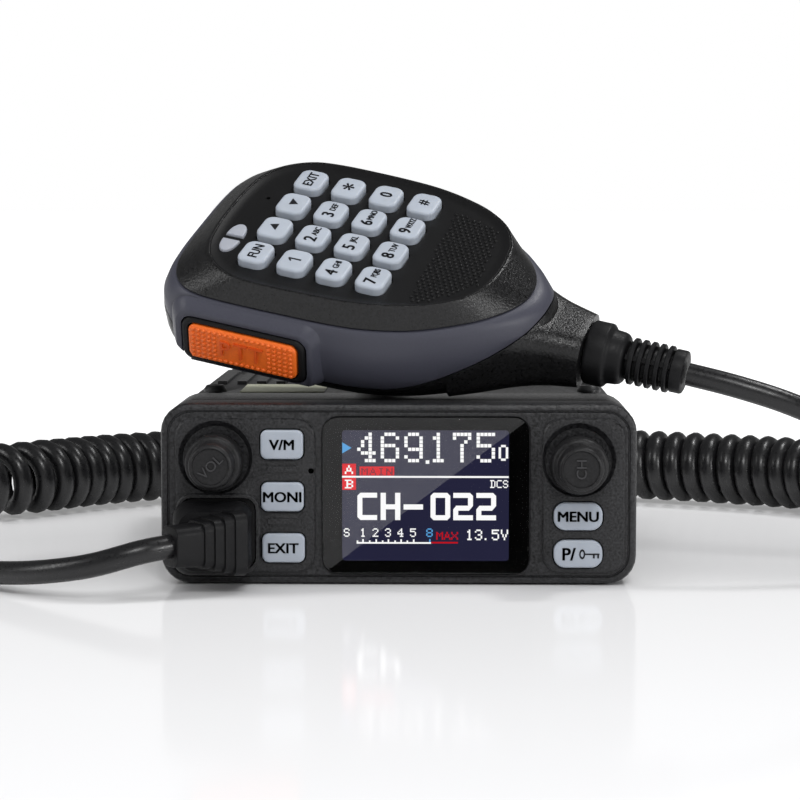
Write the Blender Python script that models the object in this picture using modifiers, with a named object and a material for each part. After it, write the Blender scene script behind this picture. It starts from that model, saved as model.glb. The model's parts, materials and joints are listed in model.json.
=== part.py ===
"""Compact mobile transceiver: radio head, finned chassis, hand microphone and curly cord."""

import math

import bmesh
import bpy
from mathutils import Euler, Matrix, Vector

MM = 0.001
GAP = 0.3

# Radio head, seen from the front: X to the right, Z up, the face towards -Y.
HEAD_WIDTH = 100.0
HEAD_HEIGHT = 38.0
HEAD_LIFT = 0.3
HEAD_MIDDLE = HEAD_LIFT + HEAD_HEIGHT / 2
HEAD_CORNER = 6.0
FACE_Y = -60.0
BASE_Y = FACE_Y + 0.8
PANEL_INNER_Y = FACE_Y + 2.9
PANEL_BACK_Y = FACE_Y + 10.0
HEAD_BACK_Y = -26.0
WALL = 2.0

# Display.
LENS_CENTRE = (5.8, 19.0)
LENS_SIZE = (43.3, 32.9)
LENS_CORNER = 3.2
LENS_FRONT_Y = FACE_Y - 0.5
LENS_THICK = 1.3
MODULE_SIZE = (40.0, 30.4)

# Front buttons: centre X, centre Z, width, height, corner radius.
BUTTONS = {
    "vm_button": (-24.4, 29.8, 8.95, 6.1, 1.4),
    "moni_button": (-24.3, 18.8, 8.95, 6.1, 1.4),
    "exit_button": (-24.1, 8.0, 8.95, 6.1, 1.4),
    "menu_button": (37.7, 14.8, 10.2, 5.8, 2.4),
    "key_lock_button": (37.7, 6.9, 10.2, 5.8, 2.4),
}
BUTTON_PROUD = 1.0
BUTTON_STEM = (4.0, 3.0)

# Rotary controls: axis X and Z.
VOL_AXIS = (-38.4, 26.2)
CH_AXIS = (37.8, 25.8)
DISH_RADIUS = 7.8
DISH_DEPTH = 1.5
DISH_RISE = 0.8
KNOB_SKIRT = 5.9
KNOB_CAP = 4.65
KNOB_PROUD = 11.5

# Microphone jack and the control board behind the panel.
JACK_CENTRE = (-37.9, 11.0)
JACK_SIZE = (15.4, 14.4)
JACK_MOUTH = (12.0, 8.4)
JACK_BACK_Y = -50.4
BOARD_Y = -49.4
BOARD_THICK = 1.6

# Chassis behind the head.
CHASSIS_WIDTH = 93.0
CHASSIS_FRONT_Y = HEAD_BACK_Y + GAP
CHASSIS_BACK_Y = 58.0
CHASSIS_TOP = 36.0
CHASSIS_WALL = 3.0
COVER_TOP = 37.6
FIN_TOP = 38.4
FIN_WIDTH = 2.2
FIN_PITCH = 4.6
FIN_START_Y = 5.0
FIN_END_Y = 49.0
GROOVE_HEIGHTS = (6.0, 11.0, 25.0, 30.0)
BRACKET_HOLES = ((2.0, 18.0), (30.0, 18.0))
SCREW_SPOTS = ((-42.0, -20.5), (42.0, -20.5), (-42.0, 53.5), (42.0, 53.5))

# Hand microphone: its own frame has X along the body towards the cord, Y across, Z out of the keypad.
MIC_ORIGIN = (-12.9, -34.9, 74.1)
MIC_TURN = (30.75, 11.26, -16.5)
MIC_SHELL_BOTTOM = -5.0
MIC_BAND_BOTTOM = -20.2
# Half outlines, from the rounded end to the cord end: distance along, half width.
SHELL_EDGE = (
    (-32.4, 0), (-32.2, 11), (-31.2, 18.2), (-28.5, 23.4), (-24, 26.4), (-17, 27.3), (-6, 27.4),
    (8, 27.1), (16, 26.0), (24, 23.4), (30.5, 19.6), (37, 14.4), (41.5, 8.8), (43.8, 3.8), (44.2, 0),
)
PANEL_EDGE = (
    (-26.5, 0), (-26.2, 8), (-25, 15), (-22, 20.3), (-16.6, 24.2), (-10, 25.4), (0, 25.4),
    (8, 25.0), (14, 24.3), (20.3, 22.7), (27.2, 19.8), (33, 15.2), (36.2, 9.4), (37.2, 4), (37.4, 0),
)
BODY_EDGE = (
    (-35.2, 0), (-35.0, 11.8), (-33.8, 19.6), (-30.5, 25.5), (-25, 28.1), (-17, 28.7), (-6, 28.7),
    (8, 28.4), (17, 27.2), (25.5, 24.4), (33, 20.2), (40, 15.2), (45.5, 9.6), (48.8, 4), (49.4, 0),
)
NECK_END = 57.2
# The neck's cross-sections: distance along, half width, height of its top, height of its bottom.
NECK_SECTIONS = (
    (32, 20.0, -8.2, -24.6), (38, 16.2, -8.3, -24.5), (44, 12.2, -8.8, -24.3), (50, 9.6, -9.8, -24.0),
    (NECK_END, 8.1, -10.8, -23.7),
)
RELIEF_HEIGHT = -17.3
RELIEF_END = 79.0

# Keypad: rows along X, columns along Y.
KEY_PITCH = (9.0, 10.35)
KEY_SIZE = (6.6, 8.0)
KEY_CORNER = 2.1
KEY_TOP = 1.3
KEY_NAMES = (
    ("fun", "up", "down", "exit"),
    ("1", "2", "3", "star"),
    ("4", "5", "6", "0"),
    ("7", "8", "9", "hash"),
)

# Push-to-talk bar on the near side of the microphone.
PTT_CENTRE = (-10.6, -14.4)
PTT_FRAME = (28.6, 10.9)
PTT_PAD = (25.0, 8.4)
PTT_FRONT = -31.2

# Cord and curly part.
CORD_DIAMETER = 5.0
CORD_SPACING = 11.0
COIL_DIAMETER = 19.5
COIL_ROUTE = (
    (-104, 49, 9.9), (-93.5, 60, 9.9), (-79.5, 75, 9.9), (-60, 88, 9.9), (-32, 97, 9.9), (0, 100.5, 9.9),
    (32, 98, 9.9), (60, 90, 9.9), (84, 79, 9.9), (103, 67, 9.9), (118, 52, 9.9),
)
MIC_CORD_ROUTE = (
    (61.7, -47.8, 43.8), (72, -50.6, 41.3), (85, -52.0, 37.0), (104, -48.5, 28), (121, -37, 17), (134, -19, 8),
    (140.5, 2, 3.6), (139, 22, 2.9), (131, 38, 2.9), (118.6, 51.6, 2.9),
)
PLUG_CORD_ROUTE = (
    (-46.9, -77.0, 10.4), (-52, -80.3, 9.8), (-61.5, -80.5, 7.1), (-72, -76.5, 5.2), (-81.5, -69.5, 3.9),
    (-92, -60, 3.0), (-104, -46, 2.8), (-115, -28, 2.8), (-120.5, -8, 3.4), (-121.5, 11, 6.5), (-118, 28, 11.5),
    (-111.5, 40, 15.5), (-104.5, 48.4, 16.9),
)


def clear_scene():
    for item in list(bpy.data.objects):
        bpy.data.objects.remove(item, do_unlink=True)


def new_collection(name, hidden=False):
    collection = bpy.data.collections.new(name)
    bpy.context.scene.collection.children.link(collection)
    collection.hide_render = hidden
    return collection


def paint(name, colour, roughness, metallic=0.0, alpha=1.0):
    material = bpy.data.materials.new(name)
    material.use_nodes = True
    shader = material.node_tree.nodes["Principled BSDF"]
    shader.inputs["Base Color"].default_value = (*colour, 1.0)
    shader.inputs["Roughness"].default_value = roughness
    shader.inputs["Metallic"].default_value = metallic
    shader.inputs["Alpha"].default_value = alpha
    return material


clear_scene()
PARTS = new_collection("parts")
CUTTERS = new_collection("cutters", hidden=True)

MIC_POSE = bpy.data.objects.new("mic_pose", None)
PARTS.objects.link(MIC_POSE)
MIC_POSE.location = Vector(MIC_ORIGIN) * MM
MIC_POSE.rotation_euler = Euler([math.radians(angle) for angle in MIC_TURN], "XYZ")


def add_object(name, bm, material=None, parent=None, location=(0, 0, 0)):
    """Makes an object of a bmesh that is drawn in millimetres. One with no material is a cutter."""
    bmesh.ops.remove_doubles(bm, verts=bm.verts, dist=1e-4)
    bmesh.ops.recalc_face_normals(bm, faces=bm.faces)
    bmesh.ops.scale(bm, verts=bm.verts, vec=(MM, MM, MM))
    mesh = bpy.data.meshes.new(name)
    bm.to_mesh(mesh)
    bm.free()
    item = bpy.data.objects.new(name, mesh)
    item.location = Vector(location) * MM
    item.parent = parent
    if material is None:
        CUTTERS.objects.link(item)
        item.hide_render = True
        item.display_type = "WIRE"
    else:
        PARTS.objects.link(item)
        mesh.materials.append(material)
    return item


def combine(item, other, operation="DIFFERENCE"):
    modifier = item.modifiers.new(operation.lower(), "BOOLEAN")
    modifier.operation = operation
    modifier.solver = "EXACT"
    modifier.object = other


def round_edges(item, width, segments=2, angle=40.0):
    modifier = item.modifiers.new("rounding", "BEVEL")
    modifier.width = width * MM
    modifier.segments = segments
    modifier.limit_method = "ANGLE"
    modifier.angle_limit = math.radians(angle)


def rounded_rect(width, height, radius, steps=4, centre=(0.0, 0.0)):
    points = []
    for corner, (side, level) in enumerate(((1, 1), (-1, 1), (-1, -1), (1, -1))):
        for step in range(steps + 1):
            angle = math.radians(90 * (corner + step / steps))
            across = centre[0] + side * (width / 2 - radius) + radius * math.cos(angle)
            up = centre[1] + level * (height / 2 - radius) + radius * math.sin(angle)
            points.append((across, up))
    return points


def circle(radius, count=24, centre=(0.0, 0.0)):
    turns = [2 * math.pi * step / count for step in range(count)]
    return [(centre[0] + radius * math.cos(turn), centre[1] + radius * math.sin(turn)) for turn in turns]


def at_y(outline, y):
    return [Vector((across, y, up)) for across, up in outline]


def at_z(outline, z):
    return [Vector((across, along, z)) for across, along in outline]


def at_x(outline, x):
    return [Vector((x, along, up)) for along, up in outline]


def add_loft(bm, rings):
    """Joins each ring of points to the next, corner to corner, and closes both ends."""
    loops = [[bm.verts.new(point) for point in ring] for ring in rings]
    for near, far in zip(loops, loops[1:]):
        for index, corner in enumerate(near):
            bm.faces.new((near[index - 1], corner, far[index], far[index - 1]))
    bm.faces.new(loops[0])
    bm.faces.new(loops[-1])


def loft(name, rings, **options):
    bm = bmesh.new()
    add_loft(bm, rings)
    return add_object(name, bm, **options)


def group(name, solids, **options):
    """One mesh of several solids that don't touch, each a list of rings."""
    bm = bmesh.new()
    for rings in solids:
        add_loft(bm, rings)
    return add_object(name, bm, **options)


def front_prism(outline, front, back):
    return [at_y(outline, front), at_y(outline, back)]


def box_rings(low, high):
    size = [top - bottom for bottom, top in zip(low, high)]
    middle = ((low[0] + high[0]) / 2, (low[1] + high[1]) / 2)
    corners = [
        (middle[0] + side * size[0] / 2, middle[1] + end * size[1] / 2)
        for side, end in ((1, 1), (-1, 1), (-1, -1), (1, -1))
    ]
    return [at_z(corners, low[2]), at_z(corners, high[2])]


def box(name, low, high, **options):
    return loft(name, box_rings(low, high), **options)


def turned(name, profile, steps=32, **options):
    """Turns a profile of (radius, height) about the local Z axis with a Screw modifier."""
    bm = bmesh.new()
    corners = [bm.verts.new((radius, 0, height)) for radius, height in profile]
    for pair in zip(corners, corners[1:]):
        bm.edges.new(pair)
    item = add_object(name, bm, **options)
    screw = item.modifiers.new("turning", "SCREW")
    screw.steps = steps
    screw.render_steps = steps
    screw.use_merge_vertices = True
    screw.merge_threshold = 1e-5
    screw.use_normal_flip = True
    return item


def smooth_path(points, closed=False, dense=16):
    """Points of the Catmull-Rom curve through the given points."""
    points = [Vector(point) for point in points]
    count = len(points)
    spans = count if closed else count - 1
    path = []
    for index in range(spans):
        if closed:
            a, b, c, d = (points[(index + shift) % count] for shift in (-1, 0, 1, 2))
        else:
            b, c = points[index], points[index + 1]
            a = points[index - 1] if index else 2 * b - c
            d = points[index + 2] if index + 2 < count else 2 * c - b
        for step in range(dense):
            t = step / dense
            path.append(
                0.5 * (2 * b + (c - a) * t + (2 * a - 5 * b + 4 * c - d) * t**2 + (3 * b - a - 3 * c + d) * t**3)
            )
    path.append(points[0] if closed else points[-1])
    return path


def resample(path, count):
    """Points at equal distances along a path, both of its ends among them."""
    lengths = [0.0]
    for near, far in zip(path, path[1:]):
        lengths.append(lengths[-1] + (far - near).length)
    result = []
    index = 0
    for step in range(count):
        wanted = lengths[-1] * step / (count - 1)
        while index < len(path) - 2 and lengths[index + 1] < wanted:
            index += 1
        share = (wanted - lengths[index]) / (lengths[index + 1] - lengths[index])
        result.append(path[index].lerp(path[index + 1], share))
    return result


def path_length(path):
    return sum((far - near).length for near, far in zip(path, path[1:]))


def tube(name, route, diameter, spacing, material, resolution=2):
    path = smooth_path(route)
    count = round(path_length(path) / spacing) + 1
    curve = bpy.data.curves.new(name, "CURVE")
    curve.dimensions = "3D"
    curve.bevel_depth = diameter / 2 * MM
    curve.bevel_resolution = resolution
    curve.use_fill_caps = True
    spline = curve.splines.new("POLY")
    spline.points.add(count - 1)
    for corner, point in zip(spline.points, resample(path, count)):
        corner.co = (*(point * MM), 1.0)
    curve.materials.append(material)
    item = bpy.data.objects.new(name, curve)
    PARTS.objects.link(item)
    return item


# Radio head


def build_front_panel(material):
    """A cup of moulded plastic with a stepped rim, two raised control fields and its openings."""
    middle = (0.0, HEAD_MIDDLE)

    def ring(y, inset):
        size = (HEAD_WIDTH - 2 * inset, HEAD_HEIGHT - 2 * inset)
        return at_y(rounded_rect(*size, HEAD_CORNER - 0.7 * inset, 6, middle), y)

    panel = loft(
        "front_panel",
        [
            ring(PANEL_INNER_Y, WALL),
            ring(PANEL_BACK_Y, WALL),
            ring(PANEL_BACK_Y, 0),
            ring(BASE_Y + 0.9, 0),
            ring(BASE_Y + 0.25, 0.3),
            ring(BASE_Y, 0.9),
            ring(BASE_Y, 1.35),
            ring(BASE_Y + 0.45, 1.45),
            ring(BASE_Y + 0.45, 1.7),
            ring(BASE_Y, 1.85),
        ],
        material=material,
    )
    fields = group(
        "control_fields",
        [
            front_prism(rounded_rect(29.6, 32.6, 4.0, 4, (-32.2, 19.0)), FACE_Y, BASE_Y + 0.5),
            front_prism(rounded_rect(17.4, 32.6, 4.0, 4, (38.9, 19.0)), FACE_Y, BASE_Y + 0.5),
        ],
    )
    round_edges(fields, 0.4, 1)
    combine(panel, fields, "UNION")
    lip = loft("jack_lip", front_prism(rounded_rect(18.0, 17.0, 3.6, 4, JACK_CENTRE), FACE_Y - 0.5, BASE_Y))
    round_edges(lip, 0.35, 1)
    combine(panel, lip, "UNION")
    ribs = group(
        "finger_ribs",
        [front_prism(rounded_rect(6.4, 1.2, 0.55, 2, (-24.2, z)), FACE_Y - 0.6, BASE_Y) for z in (24.6, 13.6)],
    )
    combine(panel, ribs, "UNION")
    clear = 2 * GAP
    holes = [
        front_prism(rounded_rect(width + clear, height + clear, radius + GAP, 4, (x, z)), -63, -56)
        for x, z, width, height, radius in BUTTONS.values()
    ]
    lens_hole = [LENS_SIZE[0] + clear, LENS_SIZE[1] + clear, LENS_CORNER + GAP]
    holes.append(front_prism(rounded_rect(*lens_hole, 4, LENS_CENTRE), -63, FACE_Y + 1.3))
    jack_hole = [JACK_SIZE[0] + clear, JACK_SIZE[1] + clear, 2.4]
    holes.append(front_prism(rounded_rect(*jack_hole, 4, JACK_CENTRE), -63, -56))
    holes.append(front_prism(circle(0.6, 12, (-18.3, 24.2)), -63, -56))
    for x, z in (VOL_AXIS, CH_AXIS):
        outer = circle(DISH_RADIUS, 32, (x, z + DISH_RISE))
        inner = circle(DISH_RADIUS - 0.8, 32, (x, z + DISH_RISE / 2))
        bottom = FACE_Y + DISH_DEPTH
        holes.append([at_y(outer, -62), at_y(outer, FACE_Y), at_y(inner, bottom)])
    combine(panel, group("panel_holes", holes))
    module_hole = rounded_rect(MODULE_SIZE[0] + 1, MODULE_SIZE[1] + 1, 1.0, 2, LENS_CENTRE)
    through = [front_prism(module_hole, FACE_Y + 0.8, -56)]
    through += [front_prism(circle(3.7, 20, spot), -60, -56) for spot in (VOL_AXIS, CH_AXIS)]
    combine(panel, group("panel_through_holes", through))
    return panel


def build_head_shell(material):
    """The sleeve between the panel and the chassis, with a cable window in its back wall."""
    middle = (0.0, HEAD_MIDDLE)
    front = PANEL_BACK_Y + GAP
    outer = rounded_rect(HEAD_WIDTH, HEAD_HEIGHT, HEAD_CORNER, 6, middle)
    rear = rounded_rect(HEAD_WIDTH - 3, HEAD_HEIGHT - 0.6, HEAD_CORNER, 6, (0, HEAD_MIDDLE - 0.3))
    inner = rounded_rect(HEAD_WIDTH - 4, HEAD_HEIGHT - 4, HEAD_CORNER - 1.4, 6, middle)
    shell = loft(
        "head_shell",
        [
            at_y(inner, HEAD_BACK_Y - WALL),
            at_y(inner, front),
            at_y(outer, front),
            at_y(outer, HEAD_BACK_Y - 4),
            at_y(rear, HEAD_BACK_Y),
        ],
        material=material,
    )
    combine(shell, loft("cable_window", front_prism(rounded_rect(60, 16, 3, 4, middle), -30, -24)))
    return shell


def build_display(glass, dark):
    lens = rounded_rect(*LENS_SIZE, LENS_CORNER, 5, LENS_CENTRE)
    inset = rounded_rect(LENS_SIZE[0] - 0.8, LENS_SIZE[1] - 0.8, LENS_CORNER - 0.4, 5, LENS_CENTRE)
    back = LENS_FRONT_Y + LENS_THICK
    rings = [at_y(inset, LENS_FRONT_Y), at_y(lens, LENS_FRONT_Y + 0.4), at_y(lens, back)]
    loft("display_lens", rings, material=glass)
    module = rounded_rect(*MODULE_SIZE, 0.8, 2, LENS_CENTRE)
    loft("display_module", front_prism(module, back + 0.2, back + 3.0), material=dark)


def build_buttons(material):
    """Each button is a cap with a stem that stops just short of the control board."""
    for name, (x, z, width, height, radius) in BUTTONS.items():
        top = FACE_Y - BUTTON_PROUD
        stem = rounded_rect(*BUTTON_STEM, 0.6, 4)
        cap = rounded_rect(width, height, radius, 4)
        small = rounded_rect(width - 0.9, height - 0.9, radius - 0.4, 4)
        rear = PANEL_INNER_Y + 0.3
        rings = [
            at_y(stem, BOARD_Y - 1.1),
            at_y(stem, rear),
            at_y(cap, rear),
            at_y(cap, top + 0.45),
            at_y(small, top),
        ]
        loft(name, rings, material=material, location=(x, 0, z))


def build_knob(name, axis, material):
    """The knob turns about Y: the profile's height is the distance in front of the face."""
    profile = (
        (0, -1.3), (2.5, -1.3), (2.5, -0.6), (KNOB_SKIRT - 0.4, -0.6), (KNOB_SKIRT, -0.2),
        (KNOB_SKIRT, 5.4), (KNOB_SKIRT - 0.5, 6.1), (KNOB_CAP + 0.25, 6.3), (KNOB_CAP, 6.8),
        (KNOB_CAP, KNOB_PROUD - 0.6), (KNOB_CAP - 0.6, KNOB_PROUD), (0, KNOB_PROUD),
    )
    knob = turned(name, profile, material=material, location=(axis[0], FACE_Y, axis[1]))
    knob.rotation_euler = (math.radians(90), 0, 0)


def build_rotary_part(name, axis, material):
    """A potentiometer or encoder: square body and round bushing that fills the panel hole."""
    x, z = axis
    square = rounded_rect(11.6, 11.6, 0.5, 5, axis)
    bushing = circle(3.4, 24, (x, z))
    rings = [at_y(square, BOARD_Y - GAP), at_y(square, -56.2)]
    body = loft(name, rings, material=material)
    combine(body, loft(name + "_bushing", front_prism(bushing, -58.3, -55)), "UNION")


def build_jack(material):
    jack = loft(
        "mic_jack",
        front_prism(rounded_rect(*JACK_SIZE, 2.1, 4, JACK_CENTRE), FACE_Y + 0.6, JACK_BACK_Y),
        material=material,
    )
    mouth = front_prism(rounded_rect(*JACK_MOUTH, 0.4, 2, JACK_CENTRE), -61, JACK_BACK_Y - 1.6)
    combine(jack, loft("jack_mouth", mouth))


def build_control_board(material):
    outline = rounded_rect(92, 32, 2.0, 3, (0, HEAD_MIDDLE))
    loft("control_board", front_prism(outline, BOARD_Y, BOARD_Y + BOARD_THICK), material=material)


# Chassis


def build_chassis(material):
    """A die-cast tray, open at the top, with side fins, corner posts and a grille for the speaker."""
    length = CHASSIS_BACK_Y - CHASSIS_FRONT_Y
    middle = (0, (CHASSIS_BACK_Y + CHASSIS_FRONT_Y) / 2)
    outer = rounded_rect(CHASSIS_WIDTH, length, 1.5, 3, middle)
    inner = rounded_rect(CHASSIS_WIDTH - 2 * CHASSIS_WALL, length - 2 * CHASSIS_WALL, 1.0, 3, middle)
    chassis = loft(
        "chassis",
        [at_z(inner, CHASSIS_WALL), at_z(inner, CHASSIS_TOP), at_z(outer, CHASSIS_TOP), at_z(outer, 0)],
        material=material,
    )
    posts = [box_rings((x - 4, y - 4, 1.0), (x + 4, y + 4, CHASSIS_TOP - 0.1)) for x, y in SCREW_SPOTS]
    combine(chassis, group("screw_posts", posts), "UNION")
    grooves = []
    for side in (-1, 1):
        edge = side * CHASSIS_WIDTH / 2
        for z in GROOVE_HEIGHTS:
            low, high = sorted((edge - side * 1.3, edge + side * 2))
            grooves.append(box_rings((low, CHASSIS_FRONT_Y + 6, z - 1.2), (high, CHASSIS_BACK_Y - 6, z + 1.2)))
    combine(chassis, group("side_grooves", grooves))
    openings = [[at_z(circle(1.6, 12, spot), 24), at_z(circle(1.6, 12, spot), 40)] for spot in SCREW_SPOTS]
    for x in range(-15, 16, 6):
        reach = math.sqrt(17.0**2 - x**2)
        openings.append(box_rings((x - 1, -2 - reach, -1), (x + 1, -2 + reach, 5)))
    for side in (-1, 1):
        for spot in BRACKET_HOLES:
            hole = circle(2.0, 12, spot)
            openings.append([at_x(hole, side * 43), at_x(hole, side * 48)])
    openings.append(front_prism(circle(6.6, 20, (26, 20)), 50, 62))
    openings.append(front_prism(circle(3.0, 16, (0, 13)), 50, 62))
    openings.append(front_prism(rounded_rect(15.6, 9.6, 1.0, 2, (-26, 14)), 50, 62))
    openings.append(front_prism(rounded_rect(60, 16, 3, 3, (0, HEAD_MIDDLE)), -30, -20))
    combine(chassis, group("chassis_openings", openings))


def build_top_cover(material):
    length = CHASSIS_BACK_Y - CHASSIS_FRONT_Y
    middle = (0, (CHASSIS_BACK_Y + CHASSIS_FRONT_Y) / 2)
    outline = rounded_rect(CHASSIS_WIDTH, length, 1.5, 3, middle)
    smaller = rounded_rect(CHASSIS_WIDTH - 1.4, length - 1.4, 1.0, 3, middle)
    bottom = CHASSIS_TOP + GAP
    rings = [at_z(outline, bottom), at_z(outline, COVER_TOP - 0.6), at_z(smaller, COVER_TOP)]
    cover = loft("top_cover", rings, material=material)
    fins = []
    for side in (-1, 1):
        for index in range(8):
            x = side * (10.5 + FIN_PITCH * index)
            fins.append(box_rings((x - 1.1, FIN_START_Y, COVER_TOP - 0.4), (x + 1.1, FIN_END_Y, FIN_TOP)))
    combine(cover, group("cover_fins", fins), "UNION")
    holes = [[at_z(circle(1.7, 12, spot), 34), at_z(circle(1.7, 12, spot), 40)] for spot in SCREW_SPOTS]
    combine(cover, group("cover_holes", holes))


def build_screw(index, spot, material):
    profile = ((0, -8.0), (1.25, -8.0), (1.25, GAP), (2.6, GAP), (2.6, 0.9), (1.9, 1.8), (0, 1.9))
    screw = turned(f"cover_screw_{index}", profile, 16, material=material, location=(*spot, COVER_TOP))
    hexagon = circle(1.2, 6, spot)
    combine(screw, loft(f"screw_socket_{index}", [at_z(hexagon, COVER_TOP + 0.9), at_z(hexagon, 41)]))


def build_back_fittings(metal, dark):
    """Antenna socket, power inlet and loudspeaker jack on the chassis back."""
    back = CHASSIS_BACK_Y + GAP
    socket = turned(
        "antenna_socket",
        ((0, -5), (6.2, -5), (6.2, 0), (11, 0), (11, 2.2), (8, 2.2), (8, 15.5), (7.4, 16), (0, 16)),
        28,
        material=metal,
        location=(26, back, 20),
    )
    socket.rotation_euler = (math.radians(-90), 0, 0)
    mouth = front_prism(circle(6.2, 24, (26, 20)), back + 4, back + 20)
    combine(socket, loft("antenna_mouth", mouth))
    inlet_rings = front_prism(rounded_rect(15, 9, 1.0, 2, (-26, 14)), back - 4, back + 6)
    inlet = loft("power_inlet", inlet_rings, material=dark)
    mouth = front_prism(rounded_rect(12, 6, 0.6, 2, (-26, 14)), back - 1, back + 9)
    combine(inlet, loft("inlet_mouth", mouth))
    speaker_jack = turned(
        "speaker_jack",
        ((0, -4), (2.7, -4), (2.7, 0), (4.6, 0), (4.6, 1.6), (3.4, 1.6), (3.4, 4), (0, 4)),
        20,
        material=metal,
        location=(0, back, 13),
    )
    speaker_jack.rotation_euler = (math.radians(-90), 0, 0)
    mouth = front_prism(circle(1.75, 12, (0, 13)), back - 2, back + 9)
    combine(speaker_jack, loft("speaker_jack_mouth", mouth))


def build_inner_parts(board, dark):
    box("main_board", (-42, -12, 19), (42, 48, 20.6), material=board)
    profile = ((0, 0.0), (16, 0.0), (18, 1.5), (18, 4), (10, 7), (10, 12), (0, 12))
    turned("loudspeaker", profile, 28, material=dark, location=(0, -2, CHASSIS_WALL + GAP))


def build_label(material):
    low = (-36.5, -20.5, COVER_TOP + 0.05)
    box("label_plate", low, (-17.5, 1.5, COVER_TOP + 0.35), material=material)


# Hand microphone


def mic_outline(half, count=56):
    """A closed outline of equal steps, the same on both sides of the microphone's middle line."""
    there = [(x, y, 0) for x, y in half]
    back = [(x, -y, 0) for x, y in reversed(half[1:-1])]
    ring = resample(smooth_path(there + back, closed=True), count + 1)[:-1]
    return [(point.x, point.y) for point in ring]


def mix(first, second, share):
    return [
        (a[0] + (b[0] - a[0]) * share, a[1] + (b[1] - a[1]) * share) for a, b in zip(first, second)
    ]


def shrink(outline, distance):
    """Draws every side of an outline in by a distance."""
    xs = [x for x, y in outline]
    ys = [y for x, y in outline]
    middle = (max(xs) + min(xs)) / 2
    across = 1 - 2 * distance / (max(xs) - min(xs))
    up = 1 - 2 * distance / (max(ys) - min(ys))
    return [(middle + (x - middle) * across, y * up) for x, y in outline]


def mic_ring(outline, height):
    return [Vector((x, y, height)) for x, y in outline]


def key_spots():
    for row, names in enumerate(KEY_NAMES):
        for column, name in enumerate(names):
            yield name, ((row - 1.5) * KEY_PITCH[0], (column - 1.5) * KEY_PITCH[1])


def indicator_rings(side, grow=0.0, low=-2.6, high=0.1):
    """Half of a leaf: an arc and the straight cut towards the other half."""
    centre = (-21.2, -10.4 + side * 0.8)
    points = []
    for step in range(9):
        angle = math.pi * step / 8
        across = centre[0] + (2.0 + grow) * math.cos(angle)
        points.append((across, centre[1] - side * grow + side * (4.6 + 2 * grow) * math.sin(angle) ** 0.8))
    return [at_z(points, low), at_z(points, high)]


def build_mic_front(material):
    edge = mic_outline(SHELL_EDGE)
    panel = mic_outline(PANEL_EDGE)
    shell = loft(
        "mic_front_shell",
        [
            mic_ring(shrink(panel, 1.4), -2.5),
            mic_ring(shrink(mix(edge, panel, 0.45), 1.9), -3.4),
            mic_ring(shrink(edge, 2.0), MIC_SHELL_BOTTOM),
            mic_ring(edge, MIC_SHELL_BOTTOM),
            mic_ring(mix(edge, panel, 0.06), -4.0),
            mic_ring(mix(edge, panel, 0.72), -1.0),
            mic_ring(mix(edge, panel, 0.93), -0.2),
            mic_ring(panel, 0.0),
            mic_ring(shrink(panel, 0.7), -0.05),
            mic_ring(shrink(panel, 1.0), -0.45),
        ],
        material=material,
        parent=MIC_POSE,
    )
    holes = []
    for _, spot in key_spots():
        size = (KEY_SIZE[0] + 2 * GAP, KEY_SIZE[1] + 2 * GAP)
        outline = rounded_rect(*size, KEY_CORNER + GAP, 2, spot)
        holes.append([at_z(outline, -4), at_z(outline, 2)])
    for side in (-1, 1):
        holes.append(indicator_rings(side, 0.12, -4, 2))
    hole = circle(0.5, 8, (-20.5, 7.4))
    holes.append([at_z(hole, -4), at_z(hole, 2)])
    combine(shell, group("mic_face_holes", holes, parent=MIC_POSE))


def mic_envelope(name, inset, top):
    """The body below the front shell as one solid, drawn in by the inset."""
    edge = mic_outline(SHELL_EDGE)
    body = mic_outline(BODY_EDGE)
    levels = (
        (top, shrink(edge, inset - 0.4)),
        (-7.0, shrink(mix(edge, body, 0.65), inset)),
        (-9.5, shrink(body, inset)),
        (-17.0, shrink(body, inset + 0.3)),
        (-21.0, shrink(body, inset + 1.6)),
        (-24.5 + inset * 0.5, shrink(body, inset + 5.0)),
        (-27.2 + inset * 0.9, shrink(body, inset + 11.5)),
        (-28.6 + inset, shrink(body, inset + 17.5)),
    )
    return loft(name, [mic_ring(outline, height) for height, outline in levels], parent=MIC_POSE)


def mic_neck():
    """The tapered neck between the body and the cord."""
    rings = [
        at_x(rounded_rect(2 * half, top - bottom, 4.2, 3, (0, (top + bottom) / 2)), x)
        for x, half, top, bottom in NECK_SECTIONS
    ]
    return loft("mic_neck", rings, parent=MIC_POSE)


def side_cut(name, profile):
    """A prism across the microphone, of a side view drawn as (distance along, height)."""
    near = [Vector((x, -45, z)) for x, z in profile]
    far = [Vector((x, 45, z)) for x, z in profile]
    return loft(name, [near, far], parent=MIC_POSE)


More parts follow.
